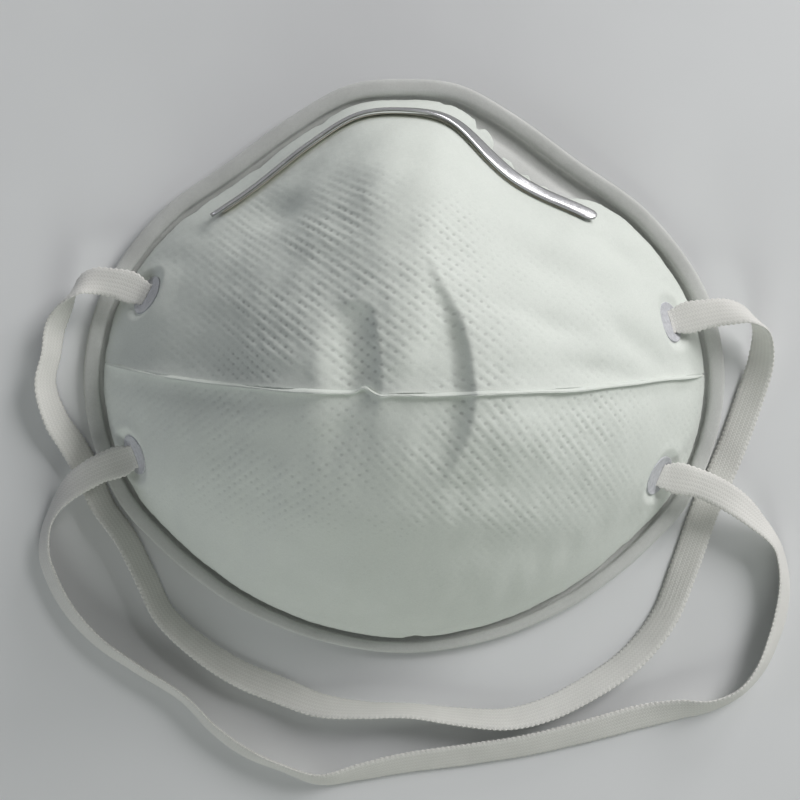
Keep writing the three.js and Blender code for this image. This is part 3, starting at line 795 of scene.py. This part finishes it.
for strap_name, height, route, body, seed in (
    ("upper_strap_band", "upper", UPPER_STRAP_ROUTE, "upper_loop", 11),
    ("lower_strap_band", "lower", LOWER_STRAP_ROUTE, "lower_loop", 12),
):
    ends = [weld_places[f"strap_weld_{height}_{side}"] for side in ("left", "right")]
    band, centres, band_length = strap(strap_name, route, seed, ends)
    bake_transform(band)
    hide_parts(f"{height}_strap")


# ---- Where the nose was pinched ----

PINCH = (22.0, 39.5)  # its middle, seen from above
PINCH_TURN = -31  # the way its long axis runs, in degrees
PINCH_LONG = 13.5
PINCH_SHORT = 7.5
PINCH_DEPTH = 3.7


def from_foot(u, spread):
    """How far a place lies in from the cover's foot, seen from above."""
    return (1 - spread) * np.interp(np.mod(u, 1), turn_samples, foot_reach)


def pinch(u, spread):
    """The dent in the flank of the nose that the clip follows, as a height on the dome."""
    base = dome(u, spread)
    dent = hill(base[..., 0], base[..., 1], PINCH, PINCH_LONG, PINCH_SHORT, PINCH_TURN)
    return -PINCH_DEPTH * dent * smoothstep(from_foot(u, spread), 0.2, 4.0)


# ---- Strips over the nose ----

CLIP_LENGTH = 89
CLIP_WIDTH = 3.2
CLIP_THICKNESS = 0.8
CLIP_RISE = 9.5  # how high up the dome the strips lie
ADHESIVE_LENGTH = 84
ADHESIVE_WIDTH = 2.4
ADHESIVE_THICKNESS = 0.2
ADHESIVE_INNER = 0.3
CLIP_INNER = ADHESIVE_INNER + ADHESIVE_THICKNESS + LAYER_GAP
TIP_LEFT = 0.3  # how steeply the strips' upper edge stands off the dome at each end
TIP_RIGHT = -0.28
STRIP_STEPS = 320  # rings of points along a strip
STRIP_COLUMNS = 13  # points across one face of it


def strip_frame(length, rise, offset, steps):
    """Places along a strip at one height of the dome, centred on the nose: u at even distances."""
    u = np.linspace(-0.25, 0.25, 2001)
    spread = (1 - rise / cup_depth) ** (1 / roundness(u))
    along = lengths(dome_offset(u, spread, np.full_like(u, offset)))
    along -= np.interp(0, u, along)
    s = np.linspace(-length / 2, length / 2, steps)
    return np.interp(s, along, u), s


def strip_points(u, rise, across, offset):
    """Points on the dome at a strip's places u, moved across it in millimetres up the dome."""
    share = rise / cup_depth
    spread = lambda s: np.maximum(1 - s, 0) ** (1 / roundness(u))
    near, far = dome(u, spread(share - STEP)), dome(u, spread(share + STEP))
    slope = np.linalg.norm(far - near, axis=-1) / (2 * STEP)
    place = spread(share + across / slope)
    return dome_offset(u, place, offset + pinch(u, place))


def strip(name, node, length, width, inner, thickness, crowned, look):
    """A round-ended strip along the clip's line over the nose. crowned is how square its section
    is, from 2 for an ellipse up."""
    u, s = strip_frame(length, CLIP_RISE, inner + thickness / 2, STRIP_STEPS)
    radius = width / 2
    inset = np.clip(length / 2 - np.abs(s), 0, radius)
    half = np.sqrt(np.maximum(radius ** 2 - (radius - inset) ** 2, 0.01))
    c = np.linspace(-1, 1, STRIP_COLUMNS)
    crown = np.sqrt(np.maximum(1 - np.abs(c) ** crowned, 0))
    tip = lerp(TIP_LEFT, TIP_RIGHT, smoothstep(s, -4, 24))
    rings, uv = [], []
    under = slice(-2, 0, -1)  # back below, without the two edges
    sides = np.repeat([1, -1], [STRIP_COLUMNS, STRIP_COLUMNS - 2])
    for m, bulge, side in zip(np.r_[c, c[under]], np.r_[crown, crown[under]], sides):
        offset = inner + thickness / 2 * (1 + side * bulge) + m * half * tip
        rings.append(strip_points(u, CLIP_RISE, m * half, offset))
        uv.append(np.stack([s, m * half], axis=1))
    rings = lifted(np.array(rings).transpose(1, 0, 2))
    uv = np.array(uv).transpose(1, 0, 2)
    piece = new_object(name, rings, tube(rings, -1), uv)
    dress(piece, look, node)
    return rings


clip_rings = strip(
    "nose_clip_strip", "nose_clip", CLIP_LENGTH, CLIP_WIDTH, CLIP_INNER, CLIP_THICKNESS,
    2.8, clip_look,
)
strip(
    "nose_clip_glue", "nose_clip_adhesive", ADHESIVE_LENGTH, ADHESIVE_WIDTH, ADHESIVE_INNER,
    ADHESIVE_THICKNESS, 8.0, glue_look,
)
clip_line = clip_rings[::4].mean(axis=1)[:, :2]


def clear_of_clip(x, y):
    """0 under the nose clip and 1 away from it."""
    gap = np.full(np.shape(x), np.inf)
    for cx, cy in clip_line:
        gap = np.minimum(gap, np.hypot(x - cx, y - cy))
    return smoothstep(gap, 1.5, 5.0)


# ---- The cover's relief ----

# Shallow dents and swellings of the cup: x, y, half width, half height, turn in degrees,
# and depth, where a negative depth is a swelling.
DENTS = [
    (-36.0, 4.0, 12.0, 15.0, 8, 2.7), (-24.5, 29.0, 5.0, 3.2, 28, 1.5),
    (-15.5, 0.5, 4.5, 8.0, 0, -0.7), (-14.0, 22.0, 7.0, 5.0, 35, -0.6),
    (1.0, 4.0, 6.5, 9.0, 0, -0.3), (30.0, 17.0, 11.0, 3.6, -20, 1.5),
    (44.0, 22.0, 7.0, 3.2, -46, 1.5), (27.0, 7.0, 11.0, 2.6, -14, 1.0),
    (44.0, 4.5, 8.0, 2.8, -36, 1.3), (36.0, -1.5, 9.0, 2.4, -10, 0.6),
    (-22.0, -15.0, 14.0, 4.0, 4, 0.8), (-10.0, -13.0, 4.5, 5.0, 0, 0.8),
    (0.0, -28.0, 30.0, 3.5, 0, -0.5), (5.0, -36.0, 34.0, 4.0, 0, 0.6),
    (22.0, -12.0, 8.0, 6.0, 15, -0.6), (0.0, 33.0, 14.0, 6.0, 0, -0.6),
]
# The fold right of the middle, where the cup steps up to a sharp edge. Down it: y, the edge's x,
# the step's height and its width.
RIGHT_FOLD = [
    (19.0, 4.2, 0.0, 1.2), (14.5, 5.6, 0.8, 1.6), (10.6, 7.5, 1.6, 2.2), (7.4, 9.1, 2.2, 2.8),
    (2.0, 10.8, 2.6, 3.3), (-5.2, 11.7, 2.7, 3.6), (-9.5, 11.4, 2.4, 4.0), (-14.0, 10.3, 1.8, 4.0),
    (-18.6, 8.4, 0.9, 3.0), (-22.5, 6.4, 0.0, 2.2),
]
# The fold left of the middle, a groove that climbs to a sharp right-hand edge. Down it: y, the
# edge's x, its depth, the width of its climbing face and of its falling face.
LEFT_FOLD = [
    (10.5, -6.0, 0.0, 3.4, 5.0), (8.0, -5.2, 1.1, 4.0, 6.0), (4.5, -4.6, 1.8, 5.0, 6.5),
    (0.0, -4.1, 2.0, 5.4, 6.5), (-5.5, -4.0, 1.7, 5.2, 6.5), (-9.0, -4.8, 0.7, 5.0, 6.0),
    (-15.0, -6.0, 0.0, 4.4, 5.0),
]
STEP_FADE = 13  # how far the ground beyond a step takes to come down again


def dents(x, y):
    total = np.zeros_like(x)
    for cx, cy, wide, tall, turn, depth in DENTS:
        total -= depth * hill(x, y, (cx, cy), wide, tall, turn)
    return total


def down_fold(y, table):
    """A fold's numbers at each y, with x first."""
    rows = np.array(table)[::-1]
    return [np.interp(y, rows[:, 0], rows[:, k]) for k in range(1, rows.shape[1])]


def step(x, y, table):
    edge, height, width = down_fold(y, table)
    d = x - edge
    climb = np.clip(1 + d / width, 0, 1) ** 2.2
    return height * np.where(d < 0, climb, hump(np.maximum(d, 0), 0, STEP_FADE))


def groove(x, y, table):
    edge, depth, climbing, falling = down_fold(y, table)
    d = x - edge
    climb = 1 - (1 + np.clip(d / climbing, -1, 0)) ** 2
    fall = 1 - smoothstep(-(d + climbing) / falling, 0, 1)
    return -depth * climb * fall


def form(u, spread):
    """The dents and folds that go through all the layers of the cup, as a height on the dome."""
    base = dome(u, spread)
    x, y = base[..., 0], base[..., 1]
    h = dents(x, y) + step(x, y, RIGHT_FOLD) + groove(x, y, LEFT_FOLD)
    h = h * smoothstep(from_foot(u, spread), 0.5, 7.0)
    for weld_name in WELD_NAMES:
        h = h * smoothstep(weld_distance(base, weld_name), HOLE_RADIUS + 1.0, HOLE_RADIUS + 8.0)
    return h * clear_of_clip(x, y) + pinch(u, spread)


# The pins fade outward from a middle over half a width and half a height.
EMBOSS_MIDDLE = (-2, -4)
EMBOSS_HALF = (62, 54)
# Where else the pins fade: the share that is lost as x and y, times the first two numbers, go from
# the third to the fourth.
UPPER_FADES = [(0.25, 1, 22, 38, 0.85), (1, 0.15, 12, 20, 0.72), (-1, 0, 26, 40, 0.5)]
LOWER_FADES = [(0, -1, 27, 35, 0.85), (-1, 0, -18, 6, 0.45)]


def emboss_mask(x, y, upper):
    """How strongly the pins were left after moulding."""
    away = (np.stack([x, y], axis=-1) - EMBOSS_MIDDLE) / EMBOSS_HALF
    mask = 1 - 0.8 * smoothstep(np.hypot(away[..., 0], away[..., 1]), 0.5, 0.9)
    mask = mask * np.clip(0.75 + 0.75 * waves(x, y, 26, 5, 3), 0.15, 1.25)
    mask = mask * np.clip(0.9 + 0.8 * waves(x, y, 4.2, 6, 2), 0.3, 1.4)
    for along_x, along_y, low, high, lost in UPPER_FADES if upper else LOWER_FADES:
        mask = mask * (1 - lost * smoothstep(along_x * x + along_y * y, low, high))
    return np.clip(mask, 0.03, 1.2)


# The lattice of pins: half its diamond's width and height.
PIN_HALF_WIDTH = 1.27
PIN_HALF_HEIGHT = 1.05
PIN_DEPTH = 0.11
PUFF = 0.13  # how far the cloth stands out between them
PIN_SHARPNESS = 0.03
CELLS = 4  # mesh steps from one pin to the next


def lattice(turn):
    """The two steps of the pin lattice, as columns."""
    angle = math.radians(turn)
    rotation = [[math.cos(angle), -math.sin(angle)], [math.sin(angle), math.cos(angle)]]
    steps = [[PIN_HALF_WIDTH, PIN_HALF_WIDTH], [-PIN_HALF_HEIGHT, PIN_HALF_HEIGHT]]
    return np.array(rotation) @ np.array(steps)


def emboss(i, j, streak):
    """Puffs between pins, which lie at whole i and j, and streaks where streak isn't whole."""
    di = i - np.round(i)
    dj = j - np.round(j)
    puff = np.abs(np.sin(np.pi * i)) ** 0.8 * np.abs(np.sin(np.pi * j)) ** 0.8
    ridge = np.abs(np.sin(np.pi * streak))
    pin = np.exp(-(di ** 2 + dj ** 2) / PIN_SHARPNESS)
    return PUFF * (0.45 * puff + 0.75 * ridge) - PIN_DEPTH * pin


# Where the cover's trimmed edge is torn back: millimetres along the rim from the nose, clockwise,
# and how far back.
TORN = [
    (-330, 0.0), (-62, 0.1), (-55, 0.3), (-52, 0.9), (-50, 0.4), (-45, 0.2), (-38, 0.3),
    (-36, 1.0), (-33, 0.5), (-30, 0.3), (-22, 0.4), (-20, 0.9), (-18, 0.2), (-12, 0.0), (0, 0.0),
    (5, 0.0), (8, 0.2), (9, 0.8), (11, 0.5), (16, 0.9), (17.4, 1.2), (18.6, 2.4), (20.2, 1.7),
    (22.4, 1.9), (23.4, 2.3), (24.2, 3.9), (26.0, 3.6), (26.6, 2.7), (29, 2.8), (31, 3.3),
    (33.5, 2.7), (36, 3.3), (38, 2.9), (41, 3.2), (44, 2.4), (47, 1.5), (49, 0.9), (54, 0.4),
    (60, 0.1), (70, 0.3), (100, 0.0), (138, 0.1), (140, 0.8), (144, 0.4), (146, 0.1), (160, 0.4),
    (163, 0.1), (176, 0.1), (188, 0.3), (190, 1.0), (193, 0.3), (205, 0.2), (206, 0.8), (211, 0.1),
    (330, 0.0),
]


JAGGED = 0.16  # the fine raggedness of the whole edge
TRIMMED = 0.1  # and how far back it lies on average


def torn_back(u):
    along = np.mod(u + 0.5, 1) * rim_length - rim_length / 2
    table = np.array(TORN)
    jagged = JAGGED * waves(along, 0 * along, 6.0, 21, 3)
    return np.interp(along, table[:, 0], table[:, 1]) + jagged + TRIMMED


WELD_DIP = 0.75
WELD_SWELL = 0.14
SWELL_AT = 2.4  # how far out from a weld's hole


def weld_dip(points):
    """A layer's height where it is drawn down towards the welds, and swells a little round each."""
    h = np.zeros(len(points))
    for weld_name in WELD_NAMES:
        r = weld_distance(points, weld_name)
        h = h - WELD_DIP * (1 - smoothstep(r, HOLE_RADIUS - 0.4, HOLE_RADIUS + 2.3))
        h = h + WELD_SWELL * hump(r - HOLE_RADIUS, SWELL_AT, 1.3)
    return h


UNEVENNESS = 0.3
SEAM_RISE = {True: 0.4, False: 0.2}  # beside the seam, on the upper panel and on the lower one
SEAM_SINK = 0.2
EDGE_ROLL = 0.2  # how far the cover swells just inside its trimmed edge
LOWEST = -0.4  # as far as all this may take it in


def cover_relief(u, spread, points, upper):
    """What moves the cover itself off the form of the cup, apart from the pins."""
    x, y = points[:, 0], points[:, 1]
    h = UNEVENNESS * waves(x, y, 20, 3 if upper else 4, 3) * clear_of_clip(x, y)
    seam_gap = np.abs(y - seam_y(x))
    h = h + SEAM_RISE[upper] * np.exp(-seam_gap / 0.7) - SEAM_SINK * hump(seam_gap, 3.0, 2.0)
    inside = from_foot(u, spread)
    h = h * smoothstep(inside, -0.5, 5.0) + EDGE_ROLL * hump(inside, 1.6, 1.2)
    return np.maximum(h, LOWEST) + weld_dip(points)


# ---- Cover and filter panels ----

LATTICE_REACH = 95  # how far the lattice is laid out from the dome's top
CLOTH_REACH = 90  # and how much of it could be on the dome
PAST_FOOT = 1.035  # how far past the foot and the seam it is kept until it is cut to them
PAST_SEAM = 2


def panel_grid(upper, turn, cells, seam_gap, torn):
    """The flat cloth of a panel on its lattice, cut to its trim, its seam and its weld holes."""
    steps = lattice(turn) / cells
    count = int(LATTICE_REACH / np.linalg.norm(steps[:, 0]))
    k = np.arange(-count, count + 1)
    i, j = np.meshgrid(k, k, indexing="ij")
    cloth = np.stack([i, j], axis=-1).reshape(-1, 2) @ steps.T
    quads = grid_faces(len(k), len(k))
    sign = 1 if upper else -1

    def place(p):
        return dome(*from_cloth(*p.T))

    centre = cloth[quads].mean(axis=1)
    near = np.hypot(*centre.T) < CLOTH_REACH
    quads, centre = quads[near], centre[near]
    u, spread = from_cloth(*centre.T)
    plan = dome(u, spread)
    past_seam = sign * (seam_y(plan[:, 0]) - plan[:, 1])
    quads = quads[(spread < PAST_FOOT) & (past_seam < PAST_SEAM)]
    triangles = np.vstack([quads[:, [0, 1, 2]], quads[:, [0, 2, 3]]])
    used, packed = np.unique(triangles, return_inverse=True)
    points, triangles = cloth[used], packed.reshape(-1, 3)

    def in_trim(p):
        u, spread = from_cloth(*p.T)
        back = np.maximum(torn_back(u), 0) if torn else np.maximum(torn_back(u) * 1.1, 0.3)
        return from_foot(u, spread) - back

    def beside_seam(p):
        at = place(p)
        return sign * (at[:, 1] - seam_y(at[:, 0])) - seam_gap

    points, triangles = cut(points, triangles, in_trim)
    points, triangles = cut(points, triangles, beside_seam)
    for weld_name in WELD_NAMES:
        points, triangles = cut(
            points, triangles, lambda p: weld_distance(place(p), weld_name) - HOLE_RADIUS
        )
    return points, triangles


def lipped(points, triangles, normal, thickness, uv):
    """A single layer of cloth with its cut edges turned down by its thickness."""
    edge = open_edges(triangles)
    rim = np.unique(edge)
    lookup = np.full(len(points), -1)
    lookup[rim] = len(points) + np.arange(len(rim))
    lip = np.stack([edge[:, 1], edge[:, 0], lookup[edge[:, 0]], lookup[edge[:, 1]]], axis=1)
    all_points = np.vstack([points, points[rim] - normal[rim] * thickness])
    return all_points, triangles.tolist() + lip.tolist(), np.vstack([uv, uv[rim]])


def mark_pins(piece, strength):
    """Says how strongly the pins show at a mesh's points, of which the first are cloth."""
    shades = np.zeros(len(piece.data.vertices), np.float32)
    shades[:len(strength)] = strength
    # The material scales the pins' painted shade by this.
    layer = piece.data.attributes.new(PIN_STRENGTH, "FLOAT", "POINT")
    layer.data.foreach_set("value", shades)


def cover_panel(name, node, upper, turn):
    """One embossed cover panel: trimmed at the rim, turned up at the seam, dipping to its welds."""
    cloth, triangles = panel_grid(upper, turn, CELLS, 0.12, True)
    u, spread = from_cloth(*cloth.T)
    base = dome(u, spread)
    normal = dome_normal(u, spread)
    x, y = base[:, 0], base[:, 1]
    pins = np.linalg.solve(lattice(turn), cloth.T)
    near_weld = np.min([weld_distance(base, w) for w in WELD_NAMES], axis=0)
    strength = emboss_mask(x, y, upper) * smoothstep(near_weld, HOLE_RADIUS, HOLE_RADIUS + 3)
    strength = strength * smoothstep(np.abs(y - seam_y(x)), 0.3, 1.6)
    height = form(u, spread) + cover_relief(u, spread, base, upper)
    leftward = 0 if upper else smoothstep(-x, -2, 12)
    pattern = lerp(emboss(*pins, pins[1]), emboss(*pins, pins[0]), leftward)
    height = height + pattern * strength + 0.02 * waves(*cloth.T, 1.9, 31, 2)
    shown = base + normal * height[:, None]
    points, faces, uv = lipped(shown, triangles, normal, COVER_THICKNESS, pins.T)
    fin_points, fin_faces, fin_uv = seam_fin(upper, len(points))
    piece = new_object(
        name, lifted(np.vstack([points, fin_points])), faces + fin_faces, np.vstack([uv, fin_uv])
    )
    mark_pins(piece, strength)
    dress(piece, cover_look, node)


def filter_panel(name, node, upper, turn):
    """One panel of filter media, following the cup's form under the cover."""
    cloth, triangles = panel_grid(upper, turn, 1, 0.2, False)
    u, spread = from_cloth(*cloth.T)
    base = dome(u, spread)
    normal = dome_normal(u, spread)
    height = filter_inner + FILTER_THICKNESS + form(u, spread) + np.minimum(weld_dip(base), 0)
    shown = base + normal * height[:, None]
    points, faces, uv = lipped(shown, triangles, normal, FILTER_THICKNESS, cloth)
    piece = new_object(name, lifted(points), faces, uv)
    dress(piece, filter_look, node)


# Half of the seam's fin in section: how far off the seam's line, and the share of its height.
FIN_PROFILE = [
    (-0.02, -0.35), (-0.02, 0.4), (-0.01, 0.92), (0.06, 1.0), (0.17, 0.92), (0.24, 0.4),
    (0.6, -0.35),
]
FIN_SPAN = 64  # how far the fin is laid out to each side
FIN_END = 0.985  # where it ends, as a share of the way down the dome


def seam_fin(upper, first):
    """The turned-up seam allowance of one panel, as a thin wavy strip. first is how many of the
    panel's points come before it."""
    x = np.linspace(-FIN_SPAN, FIN_SPAN, 641)
    y = seam_y(x)
    spread = over(x, y)[1]
    x, y, spread = (v[spread < FIN_END] for v in (x, y, spread))
    side = 1 if upper else -1
    seed = 41 if upper else 42
    ends = smoothstep(1 - spread, 0.0, 0.06)
    tall = (FIN_HEIGHT * 0.8 + 0.12 * waves(x, 0 * x, 7, seed, 3)) * lerp(0.4, 1, ends)
    lean = 0.2 * waves(x, 0 * x, 19, 43, 2) - 0.35
    rows = []
    for shift, part in FIN_PROFILE:
        u, spread = over(x, y + side * shift + lean * max(part, 0))
        rows.append(dome_offset(u, spread, form(u, spread) + tall * part))
    rings = np.array(rows).transpose(1, 0, 2)
    faces = [[index + first for index in face] for face in tube(rings, side)]
    points = rings.reshape(-1, 3)
    return points, faces, np.full((len(points), 2), 0.5)


cover_panel("cover_upper_cloth", "cover_upper_panel", True, 2)
cover_panel("cover_lower_cloth", "cover_lower_panel", False, -7)
filter_panel("filter_upper_cloth", "filter_upper_panel", True, 2)
filter_panel("filter_lower_cloth", "filter_lower_panel", False, -7)


# ---- Shell, liner, foam ----

AROUND = 480  # points round a layer of the cup
UP = 56  # and rings of points from its top to its foot
DOME_CAP = 0.0015  # the last ring round the top, as a share of the way to the foot


def meridian(u, offset, foot):
    """Points of an offset of the dome from its top to a height at its foot, top first."""
    low, high = np.full_like(u, 0.6), np.full_like(u, 1.15)
    for _ in range(30):
        middle = (low + high) / 2
        above = dome_offset(u, middle, np.full_like(u, offset))[..., 2] > foot
        low = np.where(above, middle, low)
        high = np.where(above, high, middle)
    spread = np.linspace(DOME_CAP, 1, UP)[:, None] * low
    u = np.broadcast_to(u, spread.shape)
    points = dome_offset(u, spread, offset + form(u, np.minimum(spread, 1)))
    points[-1, :, 2] = foot
    return points


GROOVE_FLOOR = 0.85
BEAD_GROWTH = 0.35  # how far the rolled bead bulges over the flat of the groove


def shell():
    """The moulded shell: its wall, its flange and the rolled bead at the edge."""
    u = np.arange(AROUND) / AROUND
    ripple = 0.07 * waves(u * rim_length, 0 * u, 17, 51, 3)
    wide = bead_width(u) + BEAD_GROWTH + ripple
    tall = BEAD_HEIGHT + 0.08 * waves(u * rim_length, 0 * u, 23, 52, 3)
    outer = meridian(u, shell_outer, GROOVE_FLOOR)
    inner = meridian(u, shell_inner, 0.0)[::-1]
    # Pairs of how far in from the rim and how high: down the groove, over the bead and under it.
    profile = [(wide + 0.45, GROOVE_FLOOR + 0 * u), (wide + 0.1, GROOVE_FLOOR + 0.1 + 0 * u)]
    for angle in np.radians(np.linspace(0, 180, 15)):
        x, y = math.cos(angle), math.sin(angle)
        inset = wide / 2 + np.sign(x) * abs(x) ** 0.75 * wide / 2
        profile.append((inset, FLANGE_THICKNESS + (tall - FLANGE_THICKNESS) * y ** 0.6))
    profile += [(0.06 + 0 * u, 0.55 + 0 * u), (0.35 + 0 * u, 0.12 + 0 * u), (0.9 + 0 * u, 0.0 * u)]
    edge = [np.column_stack([rim_point(u, inset), z]) for inset, z in profile]
    wall = lifted(np.concatenate([outer, np.array(edge), inner]))
    uv = np.stack(np.broadcast_arrays(u * rim_length, np.arange(len(wall))[:, None]), axis=-1)
    piece = new_object("shell_moulding", wall, tube(wall, -1), uv)
    dress(piece, shell_look, "moulded_shell")


LINER_FOOT = 0.4


def liner():
    """The soft inner layer, seen from the face side."""
    u = np.arange(AROUND) / AROUND
    outer = meridian(u, liner_outer, LINER_FOOT)
    inner = meridian(u, liner_inner, LINER_FOOT)[::-1]
    relief = 0.25 * waves(inner[..., 0], inner[..., 1], 16, 61, 3) + 0.1
    relief = np.maximum(relief, 0) * smoothstep(inner[..., 2], LINER_FOOT, 6)
    towards = unit(np.concatenate([TOP - inner[..., :2], -inner[..., 2:] * 0.3], axis=-1))
    inner = inner + towards * relief[..., None]
    wall = lifted(np.concatenate([outer, inner]))
    reach = lengths(outer)
    reach = np.concatenate([reach, reach[::-1]])
    angle = u * 2 * math.pi
    cloth = np.stack([reach * np.sin(angle), reach * np.cos(angle)], axis=-1).reshape(-1, 2)
    pins = np.linalg.solve(lattice(0), cloth.T).T
    piece = new_object("liner_cloth", wall, tube(wall, -1), pins)
    mark_pins(piece, np.ones(len(cloth)))
    dress(piece, liner_look, "inner_liner")
    shown = lifted(inner)


FOAM_LENGTH = 78
FOAM_WIDTH = 11
FOAM_THICKNESS = 3.5
FOAM_RISE = 10
FOAM_ROUNDING = 4.0  # how far from each end the foam begins to narrow
FOAM_STEPS = 200  # rings of points along it
FOAM_COLUMNS = 50  # and points in each


def foam():
    """The nose cushion: a soft bar with rounded edges, glued inside over the bridge."""
    middle = liner_inner - LAYER_GAP - FACET_ROOM - FOAM_THICKNESS / 2
    u, s = strip_frame(FOAM_LENGTH, FOAM_RISE, middle, FOAM_STEPS)
    inset = np.clip(FOAM_LENGTH / 2 - np.abs(s), 0, FOAM_ROUNDING) / FOAM_ROUNDING
    ends = np.sqrt(np.maximum(1 - (1 - inset) ** 2, 0.02))
    rings, uv = [], []
    for angle in np.linspace(0, 2 * math.pi, FOAM_COLUMNS, endpoint=False):
        x, y = math.cos(angle), math.sin(angle)
        m = np.sign(x) * abs(x) ** 0.45
        h = np.sign(y) * abs(y) ** 0.55
        puff = 1 + 0.04 * waves(s, 0 * s + 9 * m, 15, 71, 2)
        thick = FOAM_THICKNESS / 2 * lerp(0.7, 1, ends) * (puff if y < 0 else 1)
        rings.append(strip_points(u, FOAM_RISE, m * FOAM_WIDTH / 2 * ends, middle + h * thick))
        uv.append(np.stack([s, m * FOAM_WIDTH / 2 + 0 * s], axis=1))
    rings = lifted(np.array(rings).transpose(1, 0, 2))
    piece = new_object("nose_foam_pad", rings, tube(rings), np.array(uv).transpose(1, 0, 2))
    dress(piece, foam_look, "nose_foam")


shell()
liner()
foam()


# ---- Weld discs ----

WELD_FACE = 0.75  # how far a disc's face lies under the cover's
WELD_DISH = 0.2
WELD_LIP = 0.12
WELD_UNDERSIDE = 1.5
WELD_RINGS = 26
WELD_SPOKES = 64


def weld_disc(name, seed):
    """A dished, slightly wrinkled film where a strap was fused through the layers."""
    centre, normal = weld_places[name]
    side = unit(np.cross([0, 0, 1.0], normal))
    up = np.cross(normal, side)
    r = np.linspace(0.02, 1, WELD_RINGS)[:, None]
    angle = np.linspace(0, 2 * math.pi, WELD_SPOKES, endpoint=False)
    a, b = FILM_RADIUS * r * np.cos(angle), FILM_RADIUS * r * np.sin(angle)
    dish = -WELD_FACE - WELD_DISH * (1 - r ** 2) + WELD_LIP * smoothstep(r, 0.75, 1.0)
    dish = dish + 0.07 * waves(a, b, 3.0, seed, 2) + 0.03 * np.sin(a * 5.5) * np.sin(b * 5.5)
    flat = centre + a[..., None] * side + b[..., None] * up
    top = flat + dish[..., None] * normal
    under = flat - WELD_UNDERSIDE * normal
    film = lifted(np.concatenate([top, under[::-1]]))
    piece = new_object(name + "_film", film, tube(film))
    dress(piece, weld_look, name)


for number, weld_name in enumerate(WELD_NAMES):
    weld_disc(weld_name, 81 + number)


# ---- Floor, lights and world ----

FLOOR_REACH = 3000
FLOOR_DARK, FLOOR_LIGHT = (0.78, 0.79, 0.80), (0.82, 0.83, 0.84)
FLOOR_SPREAD = (0.40, 0.41, 0.40)  # the floor's colour in the light that it spreads
PALE = (0.56, 0.57, 0.585)  # the background far from the object
SWEEP_START = 170  # where the floor begins to fade to that
SWEEP_END = 400
WORLD_LIGHT = (0.114, 0.12, 0.115)
# Name, place and size in metres, watts and colour.
LIGHTS = [
    ("key", (0.62, 0.50, 0.50), 0.42, 5.6, (1.0, 0.985, 0.99)),
    ("nose_light", (0.44, 0.82, 0.24), 0.2, 1.7, (1.0, 0.985, 0.99)),
    ("left_fill", (-0.93, 0.05, 0.17), 0.4, 1.3, (0.86, 0.88, 1.0)),
    ("chin_fill", (0.05, -0.95, 0.45), 0.5, 3.0, (0.96, 1.0, 0.95)),
]


def floor():
    """A plain pale floor that spreads less light than it shows. Its far part is an even pale
    sweep that runs into the world."""
    n = Nodes(bpy.data.materials.new("studio_floor"))
    shown = n.background_rays()
    pale = n.ramp(n.noise(n.place(), 0.02, 2.0), 0.3, 0.7, FLOOR_DARK, FLOOR_LIGHT)
    n.finish(n.mix("MIX", shown, FLOOR_SPREAD, pale), 0.9)
    away = n.add("VectorMath", n.place(), operation="LENGTH").outputs["Value"]
    far = n.add("MapRange", away, SWEEP_START, SWEEP_END, interpolation_type="SMOOTHSTEP")
    share = n.math("MULTIPLY", far.outputs[0], shown)
    sweep = n.add("Emission", Color=PALE)
    blend = n.add("MixShader", share, n.shader.outputs[0], sweep.outputs[0])
    n.fill(n.tree.nodes["Material Output"].inputs["Surface"], blend.outputs[0])
    corners = np.array([(-1, -1, 0), (1, -1, 0), (1, 1, 0), (-1, 1, 0)]) * FLOOR_REACH
    plane = new_object("floor", corners, [[0, 1, 2, 3]])
    plane.data.materials.append(n.owner)


def area_light(name, place, size, energy, colour):
    data = bpy.data.lights.new(name, "AREA")
    data.shape = "SQUARE"
    data.size = size
    data.energy = energy
    data.color = colour
    light = bpy.data.objects.new(name, data)
    light.location = place
    light.rotation_mode = "QUATERNION"
    light.rotation_quaternion = (-light.location).to_track_quat("-Z", "Y")
    bpy.context.scene.collection.objects.link(light)


def studio_world():
    """A dim even light, that shows as the floor's pale sweep."""
    n = Nodes(bpy.data.worlds.new("studio"), "Background")
    colour = n.mix("MIX", n.background_rays(), WORLD_LIGHT, PALE)
    n.fill(n.shader.inputs["Color"], colour)
    bpy.context.scene.world = n.owner


floor()
for light in LIGHTS:
    area_light(*light)
studio_world()
